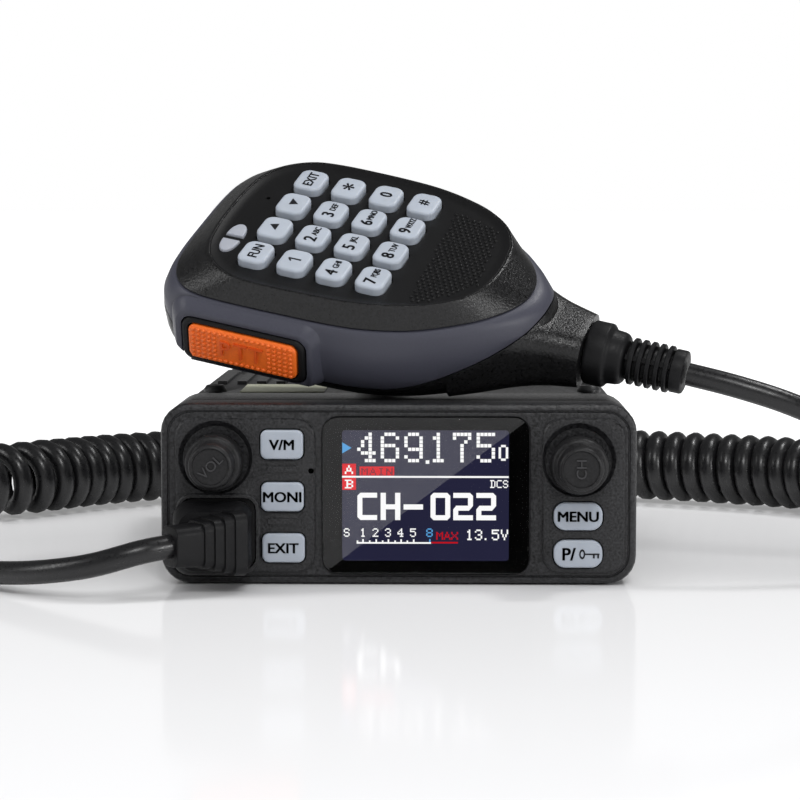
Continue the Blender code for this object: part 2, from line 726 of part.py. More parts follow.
def build_mic_body(band_material, back_material):
    solid = mic_envelope("mic_solid", 0.0, MIC_SHELL_BOTTOM - GAP)
    combine(solid, mic_neck(), "UNION")
    hollow = mic_envelope("mic_hollow", 2.2, MIC_SHELL_BOTTOM + 1)
    sweep = (
        (-40, -9.6), (-33.5, -10.4), (-29.5, -13.0), (-26, -17.6), (-23, MIC_BAND_BOTTOM), (20, MIC_BAND_BOTTOM),
        (27, -18.4), (34, -15.7), (40, -12.8), (45, -9.9), (48.5, -7.2), (51, -4),
    )
    band_side = side_cut("band_side", sweep + ((51, 0), (-40, 0)))
    lower = tuple((x + 0.1, z - GAP) for x, z in sweep)
    back_side = side_cut("back_side", lower + ((70, -4), (70, -40), (-40, -40)))
    x, z = PTT_CENTRE
    width, height = PTT_FRAME
    opening = loft(
        "ptt_opening",
        front_prism(rounded_rect(width + 2 * GAP, height + 2 * GAP, 2.8, 3, (x, z)), -40, -22),
        parent=MIC_POSE,
    )
    ridge = loft(
        "ptt_ridge",
        [
            at_y(rounded_rect(width + 7, height + 6, 4.5, 3, (x, z + 0.6)), -27.5),
            at_y(rounded_rect(width + 3, height + 3, 3.5, 3, (x, z)), -30.1),
        ],
        parent=MIC_POSE,
    )

    for name, side, material in (
        ("mic_band", band_side, band_material),
        ("mic_back_shell", back_side, back_material),
    ):
        part = loft(name, box_rings((-38, -38, -32), (62, 40, -4.5)), material=material, parent=MIC_POSE)
        combine(part, solid, "INTERSECT")
        if side is band_side:
            combine(part, ridge, "UNION")
        combine(part, hollow)
        combine(part, side, "INTERSECT")
        combine(part, opening)


def build_mic_inner(board, dark):
    box("mic_keypad_board", (-23.5, -18.5, -7.0), (22, 18.5, -5.5), material=board, parent=MIC_POSE)
    box("ptt_switch", (-13, -22.6, -15.2), (-7, -18.4, -9.2), material=dark, parent=MIC_POSE)
    profile = ((0, -5.2), (3.0, -5.2), (3.0, -2.8), (0, -2.8))
    turned("mic_capsule", profile, 20, material=dark, parent=MIC_POSE, location=(-20.5, 7.4, 0))


def build_keys(material):
    for name, spot in key_spots():
        stem = rounded_rect(3, 3, 0.6, 2)
        cap = rounded_rect(*KEY_SIZE, KEY_CORNER, 2)
        small = rounded_rect(KEY_SIZE[0] - 1.2, KEY_SIZE[1] - 1.2, KEY_CORNER - 0.4, 2)
        rings = [
            at_z(stem, -4.6),
            at_z(stem, -2.9),
            at_z(cap, -2.9),
            at_z(cap, KEY_TOP - 0.5),
            at_z(small, KEY_TOP),
        ]
        loft(f"mic_key_{name}", rings, material=material, parent=MIC_POSE, location=(*spot, 0))


def build_indicators(material):
    for name, side in (("mic_light_near", -1), ("mic_light_far", 1)):
        loft(name, indicator_rings(side), material=material, parent=MIC_POSE)


def build_ptt(rubber, orange):
    frame = loft(
        "ptt_frame",
        [
            at_y(rounded_rect(PTT_FRAME[0], PTT_FRAME[1], 2.5, 3, PTT_CENTRE), -24.5),
            at_y(rounded_rect(PTT_FRAME[0], PTT_FRAME[1], 2.5, 3, PTT_CENTRE), -30.2),
            at_y(rounded_rect(PTT_FRAME[0] - 0.8, PTT_FRAME[1] - 0.8, 2.1, 3, PTT_CENTRE), -30.6),
        ],
        material=rubber,
        parent=MIC_POSE,
    )
    hole = rounded_rect(PTT_PAD[0] + 2 * GAP, PTT_PAD[1] + 2 * GAP, 1.9, 3, PTT_CENTRE)
    combine(frame, loft("ptt_frame_hole", front_prism(hole, -40, -20), parent=MIC_POSE))
    pad = rounded_rect(*PTT_PAD, 1.6, 3)
    small = rounded_rect(PTT_PAD[0] - 1.0, PTT_PAD[1] - 1.0, 1.3, 3)
    loft(
        "ptt_pad",
        [at_y(pad, 6.4), at_y(pad, 0.6), at_y(small, 0)],
        material=orange,
        parent=MIC_POSE,
        location=(PTT_CENTRE[0], PTT_FRONT, PTT_CENTRE[1]),
    )


def build_hanger(material):
    """The round button on the back that hangs in a clip. It stands on the top cover here."""
    profile = (
        (0, -43.4), (5.9, -43.4), (6.5, -42.8), (6.5, -41.2),
        (5.9, -40.6), (4.0, -40.4), (4.0, -28.9), (0, -28.9),
    )
    turned("mic_hanger_button", profile, 24, material=material, parent=MIC_POSE, location=(6, 10, 0))


def build_strain_relief(material):
    """A ribbed sleeve about the cord, along the microphone's own X."""
    start = NECK_END + GAP
    profile = [(0, start), (6.6, start), (7.0, start + 0.5), (7.0, start + 4.4), (6.2, start + 4.9)]
    profile += [(5.8, start + 7.2), (5.0, start + 8.4)]
    for index in range(5):
        low = 67.0 + 1.95 * index
        profile += [(3.5, low - 0.6), (3.5, low), (5.1, low), (5.1, low + 1.0)]
    profile += [(3.5, 75.8), (3.5, 76.2), (4.7, 76.2), (4.7, RELIEF_END - 0.4), (4.3, RELIEF_END), (0, RELIEF_END)]
    relief = turned(
        "strain_relief",
        profile,
        20,
        material=material,
        parent=MIC_POSE,
        location=(0, 0, RELIEF_HEIGHT),
    )
    relief.rotation_euler = (0, math.radians(90), 0)


# Plug and cord


def build_plug(material):
    """An angled boot: a block on the jack, a nose inside it and a stepped arm for the cord."""
    x, z = JACK_CENTRE
    block = [
        at_y(rounded_rect(15.6, 14.4, 2.6, 4, (x - 0.6, z - 0.4)), FACE_Y - 0.8),
        at_y(rounded_rect(16.4, 15.2, 3.0, 4, (x - 0.8, z - 0.5)), FACE_Y - 2.0),
        at_y(rounded_rect(16.2, 15.0, 3.4, 4, (x - 0.8, z - 0.5)), FACE_Y - 6.5),
        at_y(rounded_rect(13.2, 12.2, 3.4, 4, (x - 0.8, z - 0.5)), FACE_Y - 9.5),
    ]
    plug = loft("mic_plug", block, material=material)
    nose = rounded_rect(JACK_MOUTH[0] - 2 * GAP, JACK_MOUTH[1] - 2 * GAP, 0.4, 2, JACK_CENTRE)
    combine(plug, loft("plug_nose", front_prism(nose, FACE_Y - 2, JACK_BACK_Y - 2.4)), "UNION")
    steps = (
        (0.0, 13.2), (2.6, 13.0), (2.6, 12.0), (4.7, 11.8), (4.7, 10.9),
        (6.8, 10.7), (6.8, 9.8), (8.9, 9.6), (8.9, 8.8), (15.0, 8.3),
    )
    bm = bmesh.new()
    add_loft(bm, [at_x(rounded_rect(0.86 * size, size, 2.0, 3), -along) for along, size in steps])
    arm = add_object("plug_arm", bm, location=(x + 4.2, FACE_Y - 8.4, z - 0.6))
    arm.rotation_euler = (0, 0, math.radians(33))
    combine(plug, arm, "UNION")


def main():
    black = (0.021, 0.021, 0.022)
    panel_black = paint("panel_black", black, 0.55)
    shell_black = paint("shell_black", (0.018, 0.018, 0.019), 0.5)
    cast_black = paint("cast_black", (0.03, 0.031, 0.033), 0.45, 0.6)
    inner_black = paint("inner_black", (0.015, 0.015, 0.016), 0.6)
    rubber_black = paint("rubber_black", (0.012, 0.012, 0.013), 0.7)
    key_grey = paint("key_grey", (0.38, 0.41, 0.47), 0.4)
    band_grey = paint("band_grey", (0.07, 0.072, 0.095), 0.45)
    ptt_orange = paint("ptt_orange", (0.78, 0.12, 0.015), 0.45)
    glass = paint("lens_glass", (0.01, 0.01, 0.012), 0.05, 0.0, 0.35)
    nickel = paint("nickel", (0.6, 0.6, 0.62), 0.25, 1.0)
    board_green = paint("board_green", (0.02, 0.12, 0.05), 0.5)
    label_white = paint("label_white", (0.62, 0.62, 0.48), 0.6)

    build_front_panel(panel_black)
    build_head_shell(shell_black)
    build_display(glass, inner_black)
    build_buttons(key_grey)
    for knob, part, axis in (
        ("vol_knob", "vol_potentiometer", VOL_AXIS),
        ("ch_knob", "ch_encoder", CH_AXIS),
    ):
        build_knob(knob, axis, shell_black)
        build_rotary_part(part, axis, inner_black)
    build_jack(inner_black)
    build_control_board(board_green)
    build_chassis(cast_black)
    build_top_cover(cast_black)
    for index, spot in enumerate(SCREW_SPOTS, 1):
        build_screw(index, spot, cast_black)
    build_back_fittings(nickel, inner_black)
    build_inner_parts(board_green, inner_black)
    build_label(label_white)

    build_mic_front(shell_black)
    build_mic_body(band_grey, shell_black)
    build_mic_inner(board_green, inner_black)
    build_keys(key_grey)
    build_indicators(key_grey)
    build_ptt(rubber_black, ptt_orange)
    build_hanger(shell_black)
    build_strain_relief(rubber_black)

    build_plug(rubber_black)
    tube("cord_mic_end", MIC_CORD_ROUTE, CORD_DIAMETER, CORD_SPACING, rubber_black)
    tube("cord_plug_end", PLUG_CORD_ROUTE, CORD_DIAMETER, CORD_SPACING, rubber_black)
    tube("cord_coil", COIL_ROUTE, COIL_DIAMETER, 20.0, rubber_black, 3)


main()
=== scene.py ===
"""Looks of the mobile transceiver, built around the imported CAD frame."""

import json
import math

import bmesh
import bpy
from mathutils import Euler, Matrix, Vector

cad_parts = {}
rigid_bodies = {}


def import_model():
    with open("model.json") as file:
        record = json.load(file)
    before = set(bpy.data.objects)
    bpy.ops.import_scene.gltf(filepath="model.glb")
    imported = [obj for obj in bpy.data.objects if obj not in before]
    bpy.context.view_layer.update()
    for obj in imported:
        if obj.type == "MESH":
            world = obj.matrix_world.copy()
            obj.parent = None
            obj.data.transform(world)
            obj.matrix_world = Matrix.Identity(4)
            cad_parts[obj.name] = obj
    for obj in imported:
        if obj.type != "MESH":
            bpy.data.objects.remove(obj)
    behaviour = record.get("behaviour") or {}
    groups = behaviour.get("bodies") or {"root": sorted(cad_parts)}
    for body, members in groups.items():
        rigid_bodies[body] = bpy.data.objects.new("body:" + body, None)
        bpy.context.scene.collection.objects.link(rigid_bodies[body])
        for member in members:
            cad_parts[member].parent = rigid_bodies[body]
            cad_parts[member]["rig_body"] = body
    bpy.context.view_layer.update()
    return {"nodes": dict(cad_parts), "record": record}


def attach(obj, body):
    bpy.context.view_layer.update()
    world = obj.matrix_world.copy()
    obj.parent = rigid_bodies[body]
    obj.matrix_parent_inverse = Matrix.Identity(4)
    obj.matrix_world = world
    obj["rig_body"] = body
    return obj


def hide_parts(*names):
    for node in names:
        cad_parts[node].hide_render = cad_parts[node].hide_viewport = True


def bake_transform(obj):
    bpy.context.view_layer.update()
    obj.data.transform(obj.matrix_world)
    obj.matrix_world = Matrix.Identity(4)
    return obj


for leftover in list(bpy.data.objects):
    bpy.data.objects.remove(leftover, do_unlink=True)

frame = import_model()
NODES = frame["nodes"]
SLOTS = {entry["node"]: entry["material_slot"] for entry in frame["record"]["subparts"]}
MM = 0.001
GAP = 0.3

# The CAD's own measures, in millimetres.
FACE_Y = -60.0
LENS_CENTRE = (5.8, 19.0)
LENS_SIZE = (43.3, 32.9)
LENS_FRONT_Y = FACE_Y - 0.5
BUTTONS = {
    "vm_button": (-24.4, 29.8, 8.95, 6.1, 1.4),
    "moni_button": (-24.3, 18.8, 8.95, 6.1, 1.4),
    "exit_button": (-24.1, 8.0, 8.95, 6.1, 1.4),
    "menu_button": (37.7, 14.8, 10.2, 5.8, 2.4),
    "key_lock_button": (37.7, 6.9, 10.2, 5.8, 2.4),
}
VOL_AXIS = (-38.4, 26.2)
CH_AXIS = (37.8, 25.8)
JACK_CENTRE = (-37.9, 11.0)
MIC_ORIGIN = (-12.9, -34.9, 74.1)
MIC_TURN = (30.75, 11.26, -16.5)
SHELL_EDGE = (
    (-32.4, 0), (-32.2, 11), (-31.2, 18.2), (-28.5, 23.4), (-24, 26.4), (-17, 27.3), (-6, 27.4),
    (8, 27.1), (16, 26.0), (24, 23.4), (30.5, 19.6), (37, 14.4), (41.5, 8.8), (43.8, 3.8), (44.2, 0),
)
PANEL_EDGE = (
    (-26.5, 0), (-26.2, 8), (-25, 15), (-22, 20.3), (-16.6, 24.2), (-10, 25.4), (0, 25.4),
    (8, 25.0), (14, 24.3), (20.3, 22.7), (27.2, 19.8), (33, 15.2), (36.2, 9.4), (37.2, 4), (37.4, 0),
)
BODY_EDGE = (
    (-35.2, 0), (-35.0, 11.8), (-33.8, 19.6), (-30.5, 25.5), (-25, 28.1), (-17, 28.7), (-6, 28.7),
    (8, 28.4), (17, 27.2), (25.5, 24.4), (33, 20.2), (40, 15.2), (45.5, 9.6), (48.8, 4), (49.4, 0),
)
NECK_END = 57.2
NECK_SECTIONS = (
    (32, 20.0, -8.2, -24.6), (38, 16.2, -8.3, -24.5), (44, 12.2, -8.8, -24.3), (50, 9.6, -9.8, -24.0),
    (NECK_END, 8.1, -10.8, -23.7),
)
BAND_SWEEP = (
    (-40, -9.6), (-33.5, -10.4), (-29.5, -13.0), (-26, -17.6), (-23, -20.2), (20, -20.2),
    (27, -18.4), (34, -15.7), (40, -12.8), (45, -9.9), (48.5, -7.2), (51, -4),
)
RELIEF_HEIGHT = -17.3
RELIEF_END = 79.0
KEY_PITCH = (9.0, 10.35)
KEY_SIZE = (6.6, 8.0)
KEY_CORNER = 2.1
KEY_SHOULDER = 1.2
KEY_CROWN = 0.1
KEY_NAMES = (
    ("fun", "up", "down", "exit"),
    ("1", "2", "3", "star"),
    ("4", "5", "6", "0"),
    ("7", "8", "9", "hash"),
)
PTT_CENTRE = (-10.6, -14.4)
PTT_FRAME = (28.6, 10.9)
PTT_PAD = (25.0, 8.4)
PTT_FRONT = -31.2
CORD_DIAMETER = 5.0
CORD_ON_FLOOR = 2.9
COIL_RADIUS = 7.25
COIL_PITCH = 5.15
COIL_IN, COIL_OUT = 34.0, 40.0
COIL_POINT_STEP = 1.9
RUN_POINT_STEP = 2.2
LEAST_BEND = 3.3
COIL_ROUTE = (
    (-104, 49, 9.9), (-93.5, 60, 9.9), (-79.5, 75, 9.9), (-60, 88, 9.9), (-32, 97, 9.9),
    (0, 100.5, 9.9), (32, 98, 9.9), (60, 90, 9.9), (84, 79, 9.9), (103, 67, 9.9), (118, 52, 9.9),
)
MIC_CORD_ROUTE = (
    (61.7, -47.8, 43.8), (72, -50.6, 41.3), (85, -52.0, 37.0), (104, -48.5, 28), (121, -37, 17),
    (134, -19, 8), (140.5, 2, 3.6), (139, 22, 2.9), (131, 38, 2.9), (118.6, 51.6, 2.9),
)
COIL_START = (131, 38, 9.9)
PLUG_CORD_ROUTE = (
    (-46.9, -77.0, 10.4), (-52, -80.3, 9.8), (-61.5, -80.5, 7.1), (-72, -76.5, 5.2), (-81.5, -69.5, 3.9),
    (-92, -60, 3.0), (-104, -46, 2.8), (-115, -28, 2.8), (-120.5, -8, 3.4), (-121.5, 11, 6.5),
    (-118, 28, 11.5),
    (-111.5, 40, 15.5), (-104.5, 48.4, 16.9),
)


# Outlines, paths and meshes


def rounded_rect(width, height, radius, steps=10, centre=(0.0, 0.0)):
    points = []
    for corner, (side, level) in enumerate(((1, 1), (-1, 1), (-1, -1), (1, -1))):
        for step in range(steps + 1):
            angle = math.radians(90 * (corner + step / steps))
            across = centre[0] + side * (width / 2 - radius) + radius * math.cos(angle)
            up = centre[1] + level * (height / 2 - radius) + radius * math.sin(angle)
            points.append((across, up))
    return points


def circle(radius, count=48, centre=(0.0, 0.0)):
    turns = [2 * math.pi * step / count for step in range(count)]
    return [(centre[0] + radius * math.cos(turn), centre[1] + radius * math.sin(turn)) for turn in turns]


def at_x(outline, x):
    return [Vector((x, along, up)) for along, up in outline]


def at_y(outline, y):
    return [Vector((across, y, up)) for across, up in outline]


def at_z(outline, z):
    return [Vector((across, along, z)) for across, along in outline]


def smooth_path(points, closed=False, dense=16):
    """Points of the Catmull-Rom curve through the given points."""
    points = [Vector(point) for point in points]
    count = len(points)
    spans = count if closed else count - 1
    path = []
    for index in range(spans):
        if closed:
            a, b, c, d = (points[(index + shift) % count] for shift in (-1, 0, 1, 2))
        else:
            b, c = points[index], points[index + 1]
            a = points[index - 1] if index else 2 * b - c
            d = points[index + 2] if index + 2 < count else 2 * c - b
        for step in range(dense):
            t = step / dense
            square = (2 * a - 5 * b + 4 * c - d) * t**2
            path.append(0.5 * (2 * b + (c - a) * t + square + (3 * b - a - 3 * c + d) * t**3))
    path.append(points[0] if closed else points[-1])
    return path


def path_length(path):
    return sum((far - near).length for near, far in zip(path, path[1:]))


def resample(path, count):
    """Points at equal distances along a path, both of its ends among them."""
    lengths = [0.0]
    for near, far in zip(path, path[1:]):
        lengths.append(lengths[-1] + (far - near).length)
    result = []
    index = 0
    for step in range(count):
        wanted = lengths[-1] * step / (count - 1)
        while index < len(path) - 2 and lengths[index + 1] < wanted:
            index += 1
        share = (wanted - lengths[index]) / (lengths[index + 1] - lengths[index])
        result.append(path[index].lerp(path[index + 1], share))
    return result


def add_loft(bm, rings, caps=(True, True)):
    """Joins each ring of points to the next, corner to corner, and closes the ends."""
    loops = [[bm.verts.new(point) for point in ring] for ring in rings]
    for near, far in zip(loops, loops[1:]):
        for index, corner in enumerate(near):
            bm.faces.new((near[index - 1], corner, far[index], far[index - 1]))
    if caps[0]:
        bm.faces.new(loops[0])
    if caps[1]:
        bm.faces.new(loops[-1])


def lofted(*solids, caps=(True, True), turn=None):
    """A mesh, in millimetres, of several solids that are each a list of rings."""
    bm = bmesh.new()
    for rings in solids:
        add_loft(bm, rings, caps)
    bmesh.ops.recalc_face_normals(bm, faces=bm.faces)
    mesh = bpy.data.meshes.new("loft")
    if turn:
        bm.transform(turn)
    bm.to_mesh(mesh)
    bm.free()
    return mesh


def turned(profile, count=72):
    """A mesh turned about Z from a profile of (radius, height)."""
    rings = [at_z(circle(max(radius, 0.01), count), height) for radius, height in profile]
    return lofted(rings)


def add_object(name, data):
    item = bpy.data.objects.new(name, data)
    bpy.context.scene.collection.objects.link(item)
    return item


def taken_out(item, *helpers):
    """The object's mesh with its modifiers applied. The object and its helpers are removed."""
    graph = bpy.context.evaluated_depsgraph_get()
    mesh = bpy.data.meshes.new_from_object(item.evaluated_get(graph))
    for done in (item, *helpers):
        bpy.data.objects.remove(done, do_unlink=True)
    return mesh


def combined(mesh, *others):
    """The mesh after Booleans with others, each given as (operation, mesh)."""
    item = add_object("solid", mesh)
    tools = []
    for operation, other in others:
        tool = add_object("tool", other)
        tools.append(tool)
        modifier = item.modifiers.new(operation, "BOOLEAN")
        modifier.operation = operation
        modifier.solver = "EXACT"
        modifier.object = tool
    return taken_out(item, *tools)


def softened(mesh, width, segments=3, angle=35.0):
    """The mesh with its sharp edges rounded."""
    item = add_object("solid", mesh)
    bevel = item.modifiers.new("soft_edges", "BEVEL")
    bevel.width = width
    bevel.segments = segments
    bevel.limit_method = "ANGLE"
    bevel.angle_limit = math.radians(angle)
    return taken_out(item)


def shade(mesh, angle=35.0):
    mesh.shade_smooth()
    mesh.set_sharp_from_angle(angle=math.radians(angle))


def turned_about_z(degrees):
    return Matrix.Rotation(math.radians(degrees), 4, "Z")


MIC_FRAME = Matrix.Translation(Vector(MIC_ORIGIN)) @ Euler(
    [math.radians(angle) for angle in MIC_TURN], "XYZ"
).to_matrix().to_4x4()
TO_METRES = Matrix.Scale(MM, 4)


def new_piece(name, mesh, material, body, replaces=(), place=None, angle=35.0):
    """A piece of the visual model from a mesh in millimetres, which place moves first."""
    mesh.transform(TO_METRES @ (place or Matrix.Identity(4)))
    mesh.name = name
    mesh.materials.clear()
    mesh.materials.append(material)
    shade(mesh, angle)
    piece = add_object(name, mesh)
    if body:
        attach(piece, body)
    if replaces:
        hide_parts(*replaces)
    return piece


# Camera and light

CAMERA_PLACE = (0.0102, -0.5768, 0.0804)
CAMERA_LENS = 111.6
CAMERA_DOWN, CAMERA_LEFT = 4.56, 1.09
SKY_HEIGHTS = (0.12, 0.38)
SKY_STRENGTHS = (0.45, 0.13)
SOFTBOXES = {
    "key_softbox": ((0.105, -0.71, 0.59), (0.02, -0.03, 0.05), (0.18, 0.18), 2.6),
    "left_softbox": ((-0.75, -0.25, 0.45), (-0.02, -0.02, 0.04), (0.2, 0.4), 1.6),
    "low_softbox": ((0.72, -0.52, 0.24), (0.02, -0.04, 0.06), (0.2, 0.2), 2.2),
    "high_softbox": ((0.42, 0.18, 0.86), (0.035, -0.045, 0.05), (0.14, 0.14), 2.4),
}


def build_camera():
    data = bpy.data.cameras.new("camera")
    data.lens = CAMERA_LENS
    data.sensor_width = 36.0
    data.clip_start = 0.01
    camera = add_object("camera", data)
    camera.location = CAMERA_PLACE
    camera.rotation_euler = (math.radians(90 - CAMERA_DOWN), 0, math.radians(CAMERA_LEFT))
    bpy.context.scene.camera = camera


def area_light(name, place, target, size, power):
    data = bpy.data.lights.new(name, "AREA")
    data.shape = "RECTANGLE"
    data.size, data.size_y = size
    data.energy = power
    light = add_object(name, data)
    light.location = place
    light.rotation_euler = (Vector(target) - Vector(place)).to_track_quat("-Z", "Y").to_euler()
    light.visible_camera = False


def new_node(tree, kind, **inputs):
    """A shader node with inputs set, each by its name with _ for a space."""
    node = tree.nodes.new(kind)
    for name, value in inputs.items():
        node.inputs[name.replace("_", " ")].default_value = value
    return node


def build_light():
    """A white backdrop all round at eye level, under a darker ceiling with softboxes."""
    world = bpy.data.worlds.new("studio")
    world.use_nodes = True
    tree = world.node_tree
    place = new_node(tree, "ShaderNodeTexCoord")
    split = new_node(tree, "ShaderNodeSeparateXYZ")
    (low, high), (near, far) = SKY_HEIGHTS, SKY_STRENGTHS
    height = new_node(tree, "ShaderNodeMapRange", From_Min=low, From_Max=high, To_Min=near, To_Max=far)
    height.interpolation_type = "SMOOTHSTEP"
    tree.links.new(place.outputs["Generated"], split.inputs["Vector"])
    tree.links.new(split.outputs["Z"], height.inputs["Value"])
    white = tree.nodes.new("ShaderNodeBackground")
    rays = tree.nodes.new("ShaderNodeLightPath")
    choice = tree.nodes.new("ShaderNodeMixShader")
    soft = tree.nodes["Background"]
    for sky in (soft, white):
        sky.inputs["Color"].default_value = (1.0, 1.0, 1.0, 1.0)
    tree.links.new(height.outputs["Result"], soft.inputs["Strength"])
    tree.links.new(rays.outputs["Is Camera Ray"], choice.inputs["Fac"])
    tree.links.new(soft.outputs["Background"], choice.inputs[1])
    tree.links.new(white.outputs["Background"], choice.inputs[2])
    tree.links.new(choice.outputs["Shader"], tree.nodes["World Output"].inputs["Surface"])
    bpy.context.scene.world = world
    bpy.context.scene.view_settings.view_transform = "Standard"
    data = bpy.data.lights.new("top_fill", "SUN")
    data.energy = 1.68
    data.angle = math.radians(70)
    fill = add_object("top_fill", data)
    fill.rotation_euler = (math.radians(12), 0, 0)
    fill.visible_glossy = False
    for name, box in SOFTBOXES.items():
        area_light(name, *box)


# Materials


class Shader:
    """A small builder for one Principled material, textured in object coordinates."""

    def __init__(self, name, colour, roughness, metallic=0.0, specular=0.5):
        self.material = bpy.data.materials.new(name)
        self.material.use_nodes = True
        self.tree = self.material.node_tree
        self.shader = self.tree.nodes["Principled BSDF"]
        self.shader.inputs["Base Color"].default_value = (*colour, 1.0)
        self.shader.inputs["Roughness"].default_value = roughness
        self.shader.inputs["Metallic"].default_value = metallic
        self.shader.inputs["Specular IOR Level"].default_value = specular
        self.colour = colour
        self.roughness = roughness
        self.place = new_node(self.tree, "ShaderNodeTexCoord").outputs["Object"]
        self.normal = None

    def link(self, source, target):
        self.tree.links.new(source, target)

    def noise(self, scale, detail=2.0, rough=0.5):
        node = new_node(self.tree, "ShaderNodeTexNoise", Scale=scale, Detail=detail, Roughness=rough)
        self.link(self.place, node.inputs["Vector"])
        return node.outputs["Fac"]

    def ramp(self, value, start, stop, low, high):
        limits = {"From_Min": start, "From_Max": stop, "To_Min": low, "To_Max": high}
        node = new_node(self.tree, "ShaderNodeMapRange", **limits)
        self.link(value, node.inputs["Value"])
        return node.outputs["Result"]

    def spread(self, value, low, high):
        """Stretches the middle of a noise over low to high."""
        return self.ramp(value, 0.3, 0.7, low, high)

    def vary_roughness(self, scale, amount):
        low, high = self.roughness - amount, self.roughness + amount
        result = self.spread(self.noise(scale, 3.0), low, high)
        self.link(result, self.shader.inputs["Roughness"])

    def vary_colour(self, scale, low, high, target="Base Color"):
        """Multiplies the colour by a noise between low and high."""
        mix = new_node(self.tree, "ShaderNodeMix")
        mix.data_type = "RGBA"
        first, second = [socket for socket in mix.inputs if socket.type == "RGBA"]
        first.default_value = (*[channel * low for channel in self.colour], 1.0)
        second.default_value = (*[channel * high for channel in self.colour], 1.0)
        self.link(self.spread(self.noise(scale, 3.0), 0.0, 1.0), mix.inputs[0])
        result = next(socket for socket in mix.outputs if socket.type == "RGBA")
        self.link(result, self.shader.inputs[target])

    def painted_glow_away_from(self, centre, near, far, most):
        """Adds a painted glow: white emission that grows away from a place, so that a floor meets a white
        backdrop and is left darker near the place.
        """
        reach = new_node(self.tree, "ShaderNodeVectorMath")
        reach.operation = "DISTANCE"
        reach.inputs[1].default_value = centre
        self.link(self.place, reach.inputs[0])
        glowing = self.ramp(reach.outputs["Value"], near, far, 0.0, most)
        self.link(glowing, self.shader.inputs["Emission Strength"])

    def bump(self, value, strength, distance):
        node = new_node(self.tree, "ShaderNodeBump", Strength=strength, Distance=distance)
        self.link(value, node.inputs["Height"])
        if self.normal is not None:
            self.link(self.normal, node.inputs["Normal"])
        self.normal = node.outputs["Normal"]
        self.link(self.normal, self.shader.inputs["Normal"])


def plastic(name, colour, roughness, specular, grain, scale=2400, spots=0.2):
    """Moulded plastic: grain is how deep its texture is, in micrometres."""
    shader = Shader(name, colour, roughness, specular=specular)
    shader.vary_roughness(scale, 0.08)
    shader.vary_colour(scale, 1 - spots, 1 + spots)
    if grain:
        shader.bump(shader.noise(scale, 2.0, 0.6), 1.0, grain * 1e-6)
    return shader.material


def silicone(name, colour):
    shader = Shader(name, colour, 0.42, specular=0.4)
    shader.shader.inputs["Subsurface Weight"].default_value = 0.2
    shader.shader.inputs["Subsurface Radius"].default_value = (0.6, 0.7, 0.9)
    shader.shader.inputs["Subsurface Scale"].default_value = 0.0006
    shader.vary_roughness(500, 0.05)
    shader.vary_colour(180, 0.95, 1.05)
    shader.bump(shader.noise(2500, 2.0), 1.0, 4e-6)
    return shader.material


def metal(name, colour, roughness, grain):
    shader = Shader(name, colour, roughness, metallic=1.0)
    shader.vary_roughness(700, 0.08)
    shader.bump(shader.noise(1800, 2.0), 1.0, grain * 1e-6)
    return shader.material


def glass(name):
    """A clear pane, so thin that only what lies behind it shows."""
    shader = Shader(name, (0.01, 0.01, 0.01), 0.02, specular=0.5)
    shader.shader.inputs["Alpha"].default_value = 0.02
    shader.vary_roughness(60, 0.005)
    return shader.material


def glow(name, colour):
    """A lit colour of the display."""
    shader = Shader(name, colour, 0.02, specular=0.5)
    shader.shader.inputs["Base Color"].default_value = (0.0, 0.0, 0.0, 1.0)
    shader.vary_colour(90, 0.97, 1.03, "Emission Color")
    shader.shader.inputs["Emission Strength"].default_value = 1.0
    return shader.material


PANEL_BLACK = plastic("panel_black", (0.0150, 0.0150, 0.0163), 0.40, 0.38, 130, 1900, 0.9)
SHELL_BLACK = plastic("shell_black", (0.0055, 0.0055, 0.0059), 0.34, 0.38, 130, 1900, 0.9)
FACE_BLACK = plastic("face_black", (0.0042, 0.0042, 0.0046), 0.42, 0.26, 6, 2600, 0.1)
KNOB_BLACK = plastic("knob_black", (0.0100, 0.0098, 0.0105), 0.46, 0.28, 12, 1900, 0.5)
# Lighter grey for the raised knob letters: a painted highlight, as the letters are moulded in the knob's
# own black.
KNOB_LETTER_HIGHLIGHT = plastic("knob_letters_painted_highlight", (0.0330, 0.0325, 0.0345), 0.46, 0.34, 8, 2000, 0.1)
CAST_BLACK = plastic("cast_black", (0.0150, 0.0152, 0.0160), 0.42, 0.45, 30, 1500, 0.25)
INNER_BLACK = plastic("inner_black", (0.0080, 0.0080, 0.0085), 0.50, 0.30, 10, 2000, 0.1)
RUBBER_BLACK = plastic("rubber_black", (0.0045, 0.0045, 0.0051), 0.50, 0.20, 9, 1800, 0.12)
CORD_BLACK = plastic("cord_black", (0.0070, 0.0070, 0.0077), 0.33, 0.45, 6, 1500, 0.1)
BAND_GREY = plastic("band_grey", (0.0450, 0.0460, 0.0620), 0.44, 0.32, 6, 2600, 0.06)
PTT_ORANGE = plastic("ptt_orange", (0.74, 0.130, 0.012), 0.44, 0.40, 8, 1800, 0.06)
